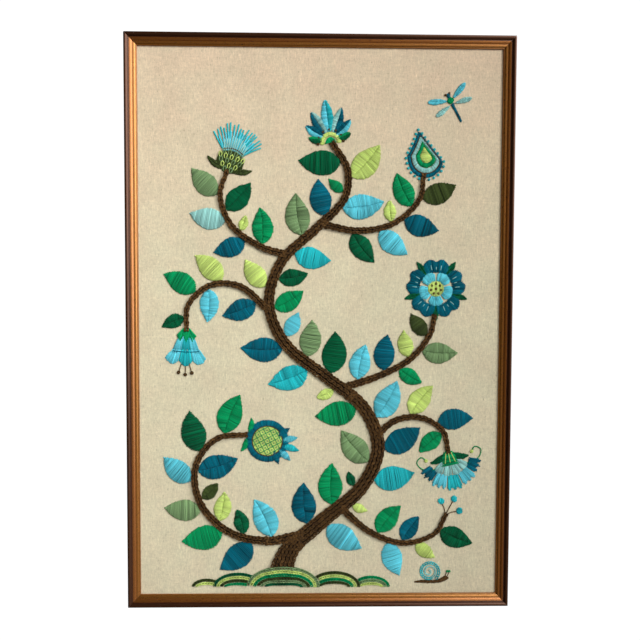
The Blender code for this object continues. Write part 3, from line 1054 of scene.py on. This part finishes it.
class Builder:
    """Gathers vertices, faces, map coordinates and shades into one mesh."""

    def __init__(self):
        self.co, self.faces, self.uv, self.shade, self.strips, self.count = [], [], [], [], [], 0

    def add_tubes(self, pts, a, b, shade, seam_shade=0.22, dip_shade=0.0):
        co, quads, tris, quv, tuv, long_mm, round_mm = tubes(pts, a, b)
        n, per, _ = co.shape
        first = self.count + np.arange(n)[:, None, None] * per
        self.co.append(co.reshape(-1, 3))
        # Painted shade: the lower a vertex lies, towards the cloth, the darker it is coloured.
        low = np.clip((co[..., 2] + 0.2) / 1.2, 0, 1)
        # Painted shade: the wool is coloured darker down the sides of a strand, where it lies against the next one,
        # and at its tips in the cloth.
        turn = np.maximum(np.sin(np.arange(SIDES) / SIDES * 2 * math.pi), -0.6)
        seam = np.tile(seam_shade * (turn / 0.87 - 1), per // SIDES)
        seam = np.concatenate([seam, np.full(per - len(seam), -0.3)])
        # Painted shade: a loop is coloured darker where it dives under its neighbours, and lighter at its top, a
        # painted highlight.
        z = co[..., 2]
        rel = (z - z.min(1, keepdims=True)) / np.ptp(z, axis=1)[:, None]
        self.shade.append((shade[:, None] + seam[None] - 0.22 * (1 - low) + dip_shade * (rel - 0.7)).ravel())
        ids = np.arange(n)
        self.faces.append(((first + quads).reshape(-1, 4), quv.reshape(-1, 4, 2), np.repeat(ids, len(quads)) + len_strips(self)))
        self.faces.append(((first + tris).reshape(-1, 3), tuv.reshape(-1, 3, 2), np.repeat(ids, len(tris)) + len_strips(self)))
        self.strips.append(np.stack([long_mm, round_mm], -1))
        self.count += n * per

    def add_beds(self, items):
        co, quads, caps, flip = beds_mesh(items)
        n, per, _ = co.shape
        k = caps.shape[1]
        first = self.count + np.arange(n)[:, None, None] * per
        q, c = first + quads, first + caps
        q[flip] = q[flip][:, :, ::-1]
        c[flip] = c[flip][:, :, ::-1]
        self.co.append(co.reshape(-1, 3))
        self.shade.append(np.repeat([i[2] for i in items], per))
        rings = BED_RINGS
        r, c2 = np.meshgrid(np.arange(rings - 1.0), np.arange(k + 0.0), indexing="ij")
        u = np.stack([r, r + 1, r + 1, r], -1).reshape(-1, 4) * 1.2 + 3.0
        v = np.stack([c2, c2, c2 + 1, c2 + 1], -1).reshape(-1, 4) * 1.2
        quv = np.broadcast_to(np.stack([u, v], -1)[None], (n, *quads.shape, 2))
        quv = np.where(flip[:, None, None, None], quv[:, :, ::-1], quv)
        ring = np.linspace(0, 2 * math.pi, k, endpoint=False)
        cap = np.stack([1.4 + 1.2 * np.cos(ring), 1.4 + 1.2 * np.sin(ring)], -1)
        cuv = np.stack([cap, cap + (0, 3.0)])
        cuv = np.broadcast_to(cuv[None], (n, *cuv.shape))
        base = len_strips(self)
        self.faces.append((q.reshape(-1, 4), quv.reshape(-1, 4, 2), np.repeat(np.arange(n), len(quads)) + base))
        self.faces.append((c.reshape(-1, k), cuv.reshape(-1, k, 2), np.repeat(np.arange(n), 2) + base))
        self.strips.append(np.tile([3.2 + rings * 1.2, k * 1.2 + 0.6], (n, 1)))
        self.count += n * per

    def build(self, name):
        co = to_world(np.concatenate(self.co))
        strips = np.concatenate(self.strips)
        gap = 0.5
        corner, side = shelf(strips[:, 0] + gap, strips[:, 1] + gap)
        index, starts, yarn, bake, at = [], [], [], [], 0
        for verts, uv, strip in self.faces:
            k = verts.shape[1]
            index.append(verts.ravel())
            starts.append(at + np.arange(len(verts)) * k)
            yarn.append((uv + np.stack([strip * 7.3 % 977, strip * 3.1 % 613], -1)[:, None]).reshape(-1, 2))
            bake.append(((uv + corner[strip][:, None] + gap / 2) / side).reshape(-1, 2))
            at += verts.size
        index, starts = np.concatenate(index), np.concatenate(starts)
        me = bpy.data.meshes.new(name)
        me.vertices.add(len(co))
        me.vertices.foreach_set("co", co.astype(np.float32).ravel())
        me.loops.add(len(index))
        me.loops.foreach_set("vertex_index", index.astype(np.int32))
        me.polygons.add(len(starts))
        me.polygons.foreach_set("loop_start", starts.astype(np.int32))
        me.polygons.foreach_set("use_smooth", np.ones(len(starts), bool))
        me.update(calc_edges=True)
        for key, data in (("yarn", yarn), ("OFBake", bake)):
            layer = me.uv_layers.new(name=key)
            layer.data.foreach_set("uv", np.concatenate(data).astype(np.float32).ravel())
        shade = me.attributes.new("shade", "FLOAT", "POINT")
        shade.data.foreach_set("value", np.concatenate(self.shade).astype(np.float32))
        me.uv_layers.active = me.uv_layers["yarn"]
        me.uv_layers["yarn"].active_render = True
        ob = bpy.data.objects.new(name, me)
        bpy.context.scene.collection.objects.link(ob)
        return ob


def len_strips(builder):
    return sum(len(x) for x in builder.strips)


def mesh_object(name, co, faces, smooth_faces=True):
    me = bpy.data.meshes.new(name)
    me.from_pydata([tuple(c) for c in co], [], [tuple(int(i) for i in f) for f in faces])
    me.update()
    if smooth_faces:
        me.shade_smooth()
    ob = bpy.data.objects.new(name, me)
    bpy.context.scene.collection.objects.link(ob)
    return ob


# ---- materials --------------------------------------------------------------


class Nodes:
    """Short names for making a material's nodes."""

    def __init__(self, name):
        self.mat = bpy.data.materials.new(name)
        self.mat.use_nodes = True
        self.tree = self.mat.node_tree
        self.shader = self.tree.nodes["Principled BSDF"]

    def node(self, kind, inputs=None, **props):
        n = self.tree.nodes.new("ShaderNode" + kind)
        for k, v in props.items():
            setattr(n, k, v)
        for k, v in (inputs or {}).items():
            self.put(n.inputs[k], v)
        return n

    def put(self, socket, value):
        if isinstance(value, bpy.types.NodeSocket):
            self.tree.links.new(value, socket)
        elif isinstance(value, bpy.types.Node):
            self.tree.links.new(value.outputs[0], socket)
        else:
            socket.default_value = value

    def math(self, op, a, b=0.0, c=0.0, clamp=False):
        return self.node("Math", {0: a, 1: b, 2: c}, operation=op, use_clamp=clamp).outputs[0]

    def scale(self, vector, by):
        return self.node("VectorMath", {0: vector, 1: by}, operation="MULTIPLY").outputs[0]

    def noise(self, vector, scale=5.0, detail=2.0, rough=0.5, distortion=0.0):
        return self.node("TexNoise", {"Vector": vector, "Scale": scale, "Detail": detail, "Roughness": rough, "Distortion": distortion})

    def range(self, value, a, b, c=0.0, d=1.0, smooth_step=False):
        n = self.node("MapRange", {0: value, 1: a, 2: b, 3: c, 4: d})
        if smooth_step:
            n.interpolation_type = "SMOOTHSTEP"
        return n.outputs[0]

    def mix(self, fac, a, b, blend="MIX"):
        n = self.node("Mix", data_type="RGBA", blend_type=blend)
        for socket, value in ((n.inputs[0], fac), (n.inputs[6], a), (n.inputs[7], b)):
            if isinstance(value, tuple) and len(value) == 3:
                value = (*value, 1.0)
            self.put(socket, value)
        return n.outputs[2]

    def grey(self, value):
        return self.node("CombineColor", {0: value, 1: value, 2: value}).outputs[0]

    def set(self, **inputs):
        for k, v in inputs.items():
            k = k.replace("_", " ")
            if isinstance(v, tuple) and len(v) == 3:
                v = (*v, 1.0)
            self.put(self.shader.inputs[k], v)

    def bump(self, height, strength, distance, normal=None):
        inputs = {"Height": height, "Strength": strength, "Distance": distance}
        if normal is not None:
            inputs["Normal"] = normal
        return self.node("Bump", inputs).outputs[0]


def srgb(r, g, b):
    return tuple(((c / 255 + 0.055) / 1.055) ** 2.4 if c > 10 else c / 255 / 12.92 for c in (r, g, b))


def wool(name, colour, light, sheen=0.07):
    """Crewel wool: twisted plies with a soft fuzz, unevenly dyed."""
    m = Nodes(name)
    yarn = m.node("UVMap", uv_map="yarn").outputs[0]
    place = m.node("TexCoord").outputs["Object"]
    part = m.node("SeparateXYZ", {0: yarn})
    # Plies wind round the strand: two mapped lengths give a slanting wave.
    turn = m.math("ADD", m.math("MULTIPLY", part.outputs[0], 2.1), m.math("MULTIPLY", part.outputs[1], 2.2))
    ply = m.math("SINE", turn)
    fibre = m.noise(m.scale(yarn, (0.55, 5.5, 1.0)), 1.0, 3.0, 0.6).outputs[0]
    fuzz = m.noise(m.scale(place, (1, 1, 1)), 2600.0, 2.0, 0.6).outputs[0]
    dye = m.noise(place, 34.0, 2.0, 0.5).outputs[0]
    # The shade attribute holds each strand's random tone plus painted shade: darker sides, tips, low parts and dips,
    # lighter loop tops, and darker beds.
    shade = m.node("Attribute", attribute_name="shade", attribute_type="GEOMETRY").outputs["Fac"]
    value = m.math("ADD", shade, 1.0)
    value = m.math("MULTIPLY", m.math("MAXIMUM", value, 0.25), m.range(fibre, 0.25, 0.75, 0.84, 1.18))
    value = m.math("MULTIPLY", value, m.range(dye, 0.3, 0.7, 0.94, 1.06))
    # The ply wave also colours the grooves between plies darker, a painted shade; it bumps them too.
    value = m.math("MULTIPLY", value, m.range(ply, -1.0, 1.0, 0.90, 1.05))
    base = m.mix(m.range(fibre, 0.52, 0.8), colour, light)
    m.set(
        Base_Color=m.mix(1.0, base, m.grey(value), "MULTIPLY"),
        Roughness=0.9,
        Specular_IOR_Level=0.1,
        Sheen_Weight=sheen,
        Sheen_Roughness=0.4,
    )
    soft = m.bump(ply, 0.35, 0.00022)
    m.set(Normal=m.bump(m.math("ADD", fuzz, m.math("MULTIPLY", fibre, 0.8)), 0.4, 0.00016, soft))
    return m.mat


WOOLS = {
    "brown": ((66, 46, 23), (118, 90, 58)),
    "teal": ((0, 89, 108), (28, 113, 133)),
    "aqua": ((136, 190, 186), (166, 207, 203)),
    "sky": ((86, 190, 208), (128, 208, 221)),
    "turquoise": ((30, 172, 181), (74, 196, 202)),
    "emerald": ((0, 138, 82), (35, 160, 105)),
    "green": ((0, 83, 51), (25, 109, 74)),
    "lime": ((188, 212, 114), (206, 225, 146)),
    "sage": ((113, 144, 98), (140, 164, 125)),
    "olive": ((54, 67, 32), (78, 90, 52)),
}


def build_wools():
    made = []
    for colour, (dark, light) in WOOLS.items():
        b = Builder()
        for (c, _), (pts, a, hb, shade) in yarns.items():
            if c == colour:
                # Brown chain loops get stronger painted shade down their sides and in their dips.
                b.add_tubes(np.stack(pts), np.array(a), np.array(hb), np.array(shade), *((0.9, 2.2) if colour == "brown" else (0.22, 0.0)))
        if beds.get(colour):
            b.add_beds(beds[colour])
        ob = b.build(f"wool_{colour}")
        ob.data.materials.append(wool(f"wool_{colour}", srgb(*dark), srgb(*light)))
        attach(ob, "root")
        made.append(ob)
    return made


# ---- the linen --------------------------------------------------------------


def blurred(field, r):
    """A box blur by r cells each way, twice."""
    f = field.astype(float)
    for _ in range(2):
        for axis in (0, 1):
            f = np.moveaxis(f, axis, 0)
            padded = np.concatenate([np.repeat(f[:1], r + 1, 0), f, np.repeat(f[-1:], r, 0)])
            c = np.cumsum(padded, axis=0)
            f = (c[2 * r + 1 :] - c[: -2 * r - 1]) / (2 * r + 1)
            f = np.moveaxis(f, 0, axis)
    return f


def linen_mesh():
    """The cloth over the board's face, round its edges and turned onto its back."""
    half_x = (LINEN_HI.x - LINEN_LO.x) / 2 / MM
    half_z = (LINEN_HI.z - LINEN_LO.z) / 2 / MM
    deep = (LINEN_HI.y - LINEN_LO.y) / MM
    soft = 1.4  # radius of the turn over the board's edges
    nx, nz = 104, 156
    gx, gz = half_x - soft, half_z - soft
    x, z = np.meshgrid(np.linspace(-gx, gx, nx + 1), np.linspace(-gz, gz, nz + 1), indexing="ij")

    # Stitching draws the cloth in a little round its edges and leaves it slightly full between.
    near, wide = blurred(ground.used, 3), blurred(ground.used, 12)
    i, j = ground.cells(x.ravel(), z.ravel())
    near, wide = near[i, j].reshape(x.shape), wide[i, j].reshape(x.shape)
    edge = np.clip(np.minimum(half_x - 8 - np.abs(x), half_z - 8 - np.abs(z)) / 25, 0, 1)
    waves = (
        np.sin(x * 0.021 + z * 0.013 + 0.6) * np.sin(z * 0.017 - x * 0.006)
        + 0.6 * np.sin(x * 0.047 - z * 0.031 + 2.0) * np.sin(z * 0.043 + 1.0)
    )
    h = edge * (-0.22 * near * (1 - near) * 4 * 0.5 + 0.30 * wide * (1 - near) + 0.10 * waves)
    verts = [np.stack([x, z, h], -1).reshape(-1, 3)]
    faces = []
    nzp = nz + 1
    a, c = np.meshgrid(np.arange(nx), np.arange(nz), indexing="ij")
    grid = np.stack([a * nzp + c, (a + 1) * nzp + c, (a + 1) * nzp + c + 1, a * nzp + c + 1], -1).reshape(-1, 4)
    faces.append(grid)

    # The rim of the grid, counter-clockwise as the viewer sees it.
    rim = np.concatenate(
        [
            np.arange(nx) * nzp,
            nx * nzp + np.arange(nz),
            nx * nzp + nz - np.arange(nx) * nzp,
            nz - np.arange(nz),
        ]
    )
    rx, rz = x.reshape(-1)[rim], z.reshape(-1)[rim]
    corner = np.minimum(np.abs(np.abs(rx) - gx), 9e9) + np.abs(np.abs(rz) - gz) < 1e-6
    count = len(rim)
    ang = np.radians([22.5, 45, 67.5, 90])
    # (how far inside the cloth's outline, how far behind its face)
    profile = [(soft - soft * math.sin(t), soft - soft * math.cos(t)) for t in ang]
    profile += [(0.0, deep / 2)]
    profile += [(soft - soft * math.cos(t), deep - soft + soft * math.sin(t)) for t in (0.0, *ang)]
    profile += [(soft + f * (31.0 - soft), deep) for f in (0.12, 0.3, 0.5, 0.7, 0.88, 1.0)]
    wobble = np.interp(np.arange(count), np.linspace(0, count, 90), rng.normal(0, 0.7, 90))
    puff = np.interp(np.arange(count), np.linspace(0, count, 60), np.abs(rng.normal(0, 0.22, 60)))
    prev = rim
    first = len(verts[0])
    for k, (inset, back) in enumerate(profile):
        share = max(0.0, (inset - soft) / (31.0 - soft))
        inset = inset + wobble * share
        px = np.sign(rx) * np.where(np.abs(np.abs(rx) - gx) < 1e-6, half_x - inset, 0)
        px = np.where(px == 0, rx * (half_x - inset) / gx, px)
        pz = np.sign(rz) * np.where(np.abs(np.abs(rz) - gz) < 1e-6, half_z - inset, 0)
        pz = np.where(pz == 0, rz * (half_z - inset) / gz, pz)
        depth = back + puff * share * np.where(corner, 0.0, 1.0) - np.where(corner, 0.7 * min(1.0, share * 4), 0.0)
        verts.append(np.stack([px, pz, -depth], -1))
        now = first + k * count + np.arange(count)
        nxt, pnx = np.roll(now, -1), np.roll(prev, -1)
        faces.append(np.stack([prev, now, nxt, pnx], -1))
        prev = now
    co = to_world(np.concatenate(verts))
    ob = mesh_object("linen_cloth", co, np.concatenate(faces))
    thick = ob.modifiers.new("thickness", "SOLIDIFY")
    thick.thickness = 0.8 * MM
    thick.offset = -1.0
    thick.use_even_offset = True
    return ob


def linen_material():
    m = Nodes("linen_weave")
    place = m.node("TexCoord").outputs["Object"]
    part = m.node("SeparateXYZ", {0: place})
    x, z = part.outputs[0], part.outputs[2]
    pitch = 0.00078
    k = math.pi / pitch
    # Threads wander a little.
    drift = m.noise(place, 22.0, 2.0, 0.5)
    shift = m.math("MULTIPLY", m.math("SUBTRACT", drift.outputs[0], 0.5), 0.004)
    xs, zs = m.math("ADD", x, shift), m.math("ADD", z, shift)
    sx, sz = m.math("SINE", m.math("MULTIPLY", xs, k)), m.math("SINE", m.math("MULTIPLY", zs, k))
    cx, cz = m.math("ABSOLUTE", sx), m.math("ABSOLUTE", sz)
    over = m.range(m.math("MULTIPLY", sx, sz), -0.35, 0.35, smooth_step=True)
    weave = m.math("ADD", m.math("MULTIPLY", cx, over), m.math("MULTIPLY", cz, m.math("SUBTRACT", 1.0, over)))

    # Slubs: thick stretches of single threads, upright and crosswise.
    def slub(vector_scale, scale):
        return m.noise(m.scale(place, vector_scale), scale, 2.0, 0.55).outputs[0]

    upright = slub((1.0, 1.0, 0.14), 540.0)
    cross = slub((0.18, 1.0, 1.0), 300.0)
    fine_up = slub((1.0, 1.0, 0.24), 800.0)
    fine_cross = slub((0.30, 1.0, 1.0), 780.0)
    cloud = m.noise(place, 13.0, 3.0, 0.55).outputs[0]
    patch = m.noise(place, 120.0, 3.0, 0.6)
    fleck = m.noise(m.scale(place, (1.0, 1.0, 0.32)), 560.0, 1.0, 0.4).outputs[0]
    slubby = m.noise(m.scale(place, (0.9, 1.0, 0.2)), 500.0, 1.0, 0.4, 0.3).outputs[0]
    tint = m.noise(place, 22.0, 2.0, 0.5).outputs[0]

    value = m.math("MULTIPLY", m.range(upright, 0.30, 0.70, 0.95, 1.04), m.range(cross, 0.30, 0.70, 0.965, 1.03))
    value = m.math("MULTIPLY", value, m.range(fine_up, 0.3, 0.7, 0.895, 1.08))
    value = m.math("MULTIPLY", value, m.range(fine_cross, 0.3, 0.7, 0.925, 1.055))
    value = m.math("MULTIPLY", value, m.range(cloud, 0.3, 0.7, 0.955, 1.045))
    value = m.math("MULTIPLY", value, m.range(patch.outputs[0], 0.3, 0.7, 0.985, 1.015))
    value = m.math("MULTIPLY", value, m.range(fleck, 0.63, 0.80, 1.0, 0.66))
    value = m.math("MULTIPLY", value, m.range(slubby, 0.64, 0.80, 1.0, 1.16))
    # The weave also colours each thread darker towards its edges, where it turns under the next: painted shade.
    value = m.math("MULTIPLY", value, m.range(weave, 0.0, 1.0, 0.80, 1.06))
    # On its back the turned cloth meets at each corner in a mitred fold; a line along it is coloured darker, a painted
    # shadow.
    in_x = m.math("SUBTRACT", LINEN_HI.x, m.math("ABSOLUTE", x))
    in_z = m.math("SUBTRACT", LINEN_HI.z - Z_MID, m.math("ABSOLUTE", m.math("SUBTRACT", z, Z_MID)))
    fold_shadow = m.range(m.math("ABSOLUTE", m.math("SUBTRACT", m.math("SUBTRACT", in_x, in_z), shift)), 0.0003, 0.0009, 0.5, 0.0)
    fold_shadow = m.math("MULTIPLY", fold_shadow, m.math("GREATER_THAN", part.outputs[1], -0.0064))
    value = m.math("MULTIPLY", value, m.math("SUBTRACT", 1.0, fold_shadow))
    # Painted light: the cloth is coloured a little warmer towards its top, as warm light falling from above, plus some
    # random tint.
    warm_light_and_tint = m.math("ADD", m.range(z, Z_MID + 0.06, Z_MID + 0.42, 0.0, 0.72), m.range(tint, 0.35, 0.65, 0.0, 0.25))
    base = m.mix(warm_light_and_tint, srgb(211, 204, 175), srgb(215, 194, 167))
    m.set(
        Base_Color=m.mix(1.0, base, m.grey(value), "MULTIPLY"),
        Roughness=0.9,
        Specular_IOR_Level=0.2,
        Sheen_Weight=0.08,
        Sheen_Roughness=0.5,
    )
    height = m.math("ADD", weave, m.math("MULTIPLY", upright, 0.9))
    height = m.math("ADD", height, m.math("MULTIPLY", cross, 0.7))
    m.set(Normal=m.bump(height, 0.5, 0.00022))
    return m.mat


# ---- the frame and the board ------------------------------------------------


def frame_material():
    """Dark walnut rim and bronze gilt steps, told apart by the distance from the frame's outer edge."""
    m = Nodes("moulding_finish")
    place = m.node("TexCoord").outputs["Object"]
    part = m.node("SeparateXYZ", {0: place})
    x = m.math("MULTIPLY", m.math("ABSOLUTE", part.outputs[0]), 1000.0)
    zz = m.math("MULTIPLY", m.math("SUBTRACT", part.outputs[2], Z_MID), 1000.0)
    z = m.math("ABSOLUTE", zz)
    y = m.math("MULTIPLY", part.outputs[1], 1000.0)
    dx, dz = m.math("SUBTRACT", OUT_X, x), m.math("SUBTRACT", OUT_Z, z)
    d = m.math("MINIMUM", dx, dz)
    upright = m.math("LESS_THAN", dx, dz)
    length = m.math("ADD", m.math("MULTIPLY", upright, zz), m.math("MULTIPLY", m.math("SUBTRACT", 1.0, upright), m.math("MULTIPLY", part.outputs[0], 1000.0)))
    side = m.math("MULTIPLY", upright, 40.0)
    lay = m.node("CombineXYZ", {0: length, 1: d, 2: m.math("ADD", y, side)}).outputs[0]

    grain = m.noise(m.scale(lay, (0.012, 1.1, 1.1)), 1.0, 4.0, 0.6).outputs[0]
    streak = m.noise(m.scale(lay, (0.035, 2.6, 2.6)), 1.0, 3.0, 0.6).outputs[0]
    mottle = m.noise(m.scale(lay, (0.12, 0.5, 0.5)), 1.0, 4.0, 0.65).outputs[0]
    speck = m.noise(lay, 1.6, 2.0, 0.6).outputs[0]
    wander = m.math("MULTIPLY", m.math("SUBTRACT", m.noise(m.scale(lay, (0.05, 0.0, 0.0)), 1.0, 3.0, 0.6).outputs[0], 0.5), 1.1)

    # Where the gilt begins, hand-wiped and so not quite straight.
    dw = m.math("ADD", d, wander)
    gilt = m.range(dw, 6.8, 7.5, smooth_step=True)
    front = m.math("LESS_THAN", y, -11.1)
    gilt = m.math("MULTIPLY", gilt, front)

    def line(at, half, soft):
        away = m.math("ABSOLUTE", m.math("SUBTRACT", dw, at))
        return m.range(away, half, half + soft, 1.0, 0.0, smooth_step=True)

    dark = m.math("MAXIMUM", line(7.3, 0.6, 0.8), m.math("MULTIPLY", line(13.1, 0.1, 0.6), 0.2))
    # Painted shade and antiquing: from 17.9 mm in, over the inner lip to the sight edge, the gilt is darkened.
    dark = m.math("MAXIMUM", dark, m.range(dw, 17.9, 18.6, 0.0, 0.42))
    dark = m.math("MAXIMUM", dark, m.math("MULTIPLY", m.range(speck, 0.66, 0.78), 0.55))
    dark = m.math("MAXIMUM", dark, m.math("MULTIPLY", m.range(mottle, 0.58, 0.78), 0.35))

    rim = m.mix(m.range(grain, 0.3, 0.75), srgb(20, 7, 3), srgb(40, 20, 11))
    rim = m.mix(m.math("MULTIPLY", m.range(streak, 0.6, 0.8), 0.5), rim, srgb(62, 37, 23))
    inner = m.range(dw, 12.8, 14.4, smooth_step=True)
    gold = m.mix(inner, srgb(196, 121, 38), srgb(218, 147, 56))
    gold = m.mix(m.math("MULTIPLY", m.range(mottle, 0.25, 0.7), 0.6), gold, srgb(182, 106, 30))
    gold = m.mix(m.math("MULTIPLY", m.range(streak, 0.55, 0.85), 0.4), gold, srgb(138, 76, 20))
    gold = m.mix(dark, gold, srgb(58, 24, 8))
    coat = m.mix(gilt, rim, gold)

    # Bare wood on the back and inside the rebate.
    back = m.math("GREATER_THAN", y, -0.4)
    rebate = m.math("MULTIPLY", m.math("GREATER_THAN", d, 13.6), m.math("GREATER_THAN", y, -11.1))
    bare = m.math("MAXIMUM", back, rebate)
    wood = m.mix(m.range(grain, 0.3, 0.7), srgb(196, 160, 116), srgb(166, 126, 84))
    wood = m.mix(m.math("MULTIPLY", m.range(streak, 0.55, 0.8), 0.5), wood, srgb(134, 96, 62))
    colour = m.mix(bare, coat, wood)

    metal = m.math("MULTIPLY", gilt, m.math("SUBTRACT", 0.95, m.math("MULTIPLY", dark, 0.6)))
    rough = m.math("ADD", m.math("MULTIPLY", gilt, -0.02), m.range(mottle, 0.2, 0.8, 0.26, 0.36))
    rough = m.math("ADD", rough, m.math("MULTIPLY", bare, 0.35))
    varnish = m.math("ADD", 0.5, m.math("MULTIPLY", gilt, 0.4))
    m.set(Base_Color=colour, Metallic=metal, Roughness=rough, Coat_Weight=varnish, Coat_Roughness=0.25, Coat_IOR=1.75, Specular_IOR_Level=0.7, Specular_Tint=(1.0, 0.34, 0.11))
    m.shader.inputs["IOR"].default_value = 1.7
    height = m.math("ADD", m.math("MULTIPLY", grain, 0.6), m.math("MULTIPLY", speck, 0.3))
    height = m.math("SUBTRACT", height, m.math("MULTIPLY", dark, 0.5))
    m.set(Normal=m.bump(height, 0.35, 0.00035))
    return m.mat


def board_material():
    m = Nodes("fibre_board")
    place = m.node("TexCoord").outputs["Object"]
    fibres = m.noise(m.scale(place, (1.0, 1.0, 0.35)), 420.0, 4.0, 0.65).outputs[0]
    cloud = m.noise(place, 16.0, 3.0, 0.5).outputs[0]
    speck = m.noise(place, 900.0, 2.0, 0.5).outputs[0]
    base = m.mix(m.range(fibres, 0.3, 0.7), srgb(150, 132, 106), srgb(178, 160, 132))
    base = m.mix(m.math("MULTIPLY", m.range(cloud, 0.4, 0.7), 0.4), base, srgb(140, 122, 98))
    base = m.mix(m.math("MULTIPLY", m.range(speck, 0.62, 0.75), 0.5), base, srgb(96, 80, 62))
    m.set(Base_Color=base, Roughness=0.86, Specular_IOR_Level=0.25)
    m.set(Normal=m.bump(fibres, 0.3, 0.0003))
    return m.mat


# ---- assembly ---------------------------------------------------------------

finish_wood = frame_material()
for name in ("rail_top", "rail_bottom", "rail_left", "rail_right"):
    rail = frame["nodes"][name]
    rail.data.materials.clear()
    rail.data.materials.append(finish_wood)
board = frame["nodes"]["back_board"]
board.data.materials.clear()
board.data.materials.append(board_material())

linen = linen_mesh()
linen.data.materials.append(linen_material())
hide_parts("linen")
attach(linen, "root")
wools = build_wools()

# ---- stage, light and camera ------------------------------------------------


def stage_floor():
    me = bpy.data.meshes.new("floor")
    z = cad_box[0].z - 0.62
    me.from_pydata([(-3, -3, z), (3, -3, z), (3, 0.62, z), (-3, 0.62, z)], [], [(0, 1, 2, 3)])
    ob = bpy.data.objects.new("floor", me)
    bpy.context.scene.collection.objects.link(ob)
    m = Nodes("pale_floor")
    m.set(Base_Color=(0.86, 0.86, 0.86), Roughness=0.9)
    ob.data.materials.append(m.mat)
    ob.visible_glossy = False  # the moulding mirrors the room instead


def soft_light(name, place, aim, size, beam, power, colour=(1, 1, 1)):
    """A square lamp; place and aim are measured from the linen's centre."""
    data = bpy.data.lights.new(name, "AREA")
    data.shape = "SQUARE"
    data.size = size
    data.spread = math.radians(beam)
    data.energy = power
    data.color = colour
    ob = bpy.data.objects.new(name, data)
    bpy.context.scene.collection.objects.link(ob)
    centre = Vector((0.0, FACE_Y, Z_MID))
    ob.location = centre + Vector(place)
    ob.rotation_mode = "QUATERNION"
    ob.rotation_quaternion = (Vector(aim) - Vector(place)).to_track_quat("-Z", "Y")
    return ob


def world():
    """White behind the picture, and in front of it a room that is brighter to the upper right."""
    w = bpy.data.worlds.new("studio")
    bpy.context.scene.world = w
    w.use_nodes = True
    t = w.node_tree
    back = t.nodes["Background"]

    def node(kind, inputs, **props):
        n = t.nodes.new("ShaderNode" + kind)
        for k, v in props.items():
            setattr(n, k, v)
        for k, v in inputs.items():
            if isinstance(v, bpy.types.NodeSocket):
                t.links.new(v, n.inputs[k])
            else:
                n.inputs[k].default_value = v
        return n

    where = node("TexCoord", {}).outputs["Generated"]
    side = node("VectorMath", {0: where, 1: ROOM_SIDE}, operation="DOT_PRODUCT").outputs["Value"]
    wide = node("MapRange", {0: side, 1: -0.2, 2: 0.6, 3: ROOM_DIM, 4: ROOM_WIDE}).outputs[0]
    window = node("MapRange", {0: side, 1: 0.78, 2: 0.985, 3: 0.0, 4: ROOM_BRIGHT}, interpolation_type="SMOOTHSTEP").outputs[0]
    room = node("Math", {0: wide, 1: window}, operation="ADD").outputs[0]
    split = node("SeparateXYZ", {0: where}).outputs
    y = split[1]
    low = node("MapRange", {0: split[2], 1: -0.12, 2: -0.36, 3: 0.0, 4: 1.0}).outputs[0]
    pool = node("MapRange", {0: side, 1: 0.1, 2: 0.75, 3: 0.0, 4: ROOM_POOL}).outputs[0]
    room = node("Math", {0: low, 1: pool, 2: room}, operation="MULTIPLY_ADD").outputs[0]
    share = node("MapRange", {0: y, 1: 0.55, 2: 0.8, 3: 0.0, 4: 1.0}, interpolation_type="SMOOTHSTEP").outputs[0]
    lift = node("Math", {0: 1.06, 1: room}, operation="SUBTRACT").outputs[0]
    level = node("Math", {0: share, 1: lift, 2: room}, operation="MULTIPLY_ADD").outputs[0]
    # Seen past the picture from any side, the backdrop is plain white.
    seen = node("LightPath", {}).outputs["Is Camera Ray"]
    plain = node("Math", {0: 1.06, 1: level}, operation="SUBTRACT").outputs[0]
    level = node("Math", {0: seen, 1: plain, 2: level}, operation="MULTIPLY_ADD").outputs[0]
    t.links.new(level, back.inputs["Strength"])
    # The dim side of the room is warm; the window, the pool and the backdrop are white.
    white = node("MapRange", {0: level, 1: 0.08, 2: 0.6, 3: 0.0, 4: 1.0}).outputs[0]
    tone = node("Mix", {0: white, 6: ROOM_WARM, 7: (1, 1, 1, 1)}, data_type="RGBA").outputs[2]
    t.links.new(tone, back.inputs["Color"])


ROOM_SIDE = (0.62, -0.70, 0.35)
ROOM_DIM, ROOM_WIDE, ROOM_BRIGHT, ROOM_POOL = 0.015, 0.076, 2.95, 0.27
ROOM_WARM = (1.0, 0.74, 0.42, 1.0)
world()
stage_floor()
key = soft_light("key", (2.187, -1.657, 1.226), (-1.22, 0.0, -0.12), 0.9, 44, 5.2, (1.0, 0.985, 0.965))
fill = soft_light("fill", (-0.5, -1.4, 1.7), (-0.45, 0.0, -0.75), 1.0, 60, 3.95, (1.0, 0.975, 0.94))
key.visible_glossy = fill.visible_glossy = False  # the gilt mirrors the room's window instead

camera_data = bpy.data.cameras.new("camera")
camera_data.lens = 38.36
camera_data.sensor_width = 36.0
camera = bpy.data.objects.new("camera", camera_data)
bpy.context.scene.collection.objects.link(camera)
right = Vector((0.9998036, -0.0193901, 0.0040889))
up = Vector((-0.0032176, 0.0447577, 0.9989927))
back = Vector((-0.0195536, -0.9988097, 0.0446865))
turn = Matrix((right, up, back)).transposed().to_4x4()
camera.matrix_world = Matrix.Translation((-0.02196, -1.1387, -0.4059)) @ turn
camera_data.clip_start, camera_data.clip_end = 0.01, 100.0
bpy.context.scene.camera = camera
bpy.context.scene.view_settings.view_transform = "Standard"
bpy.context.scene.view_settings.look = "None"
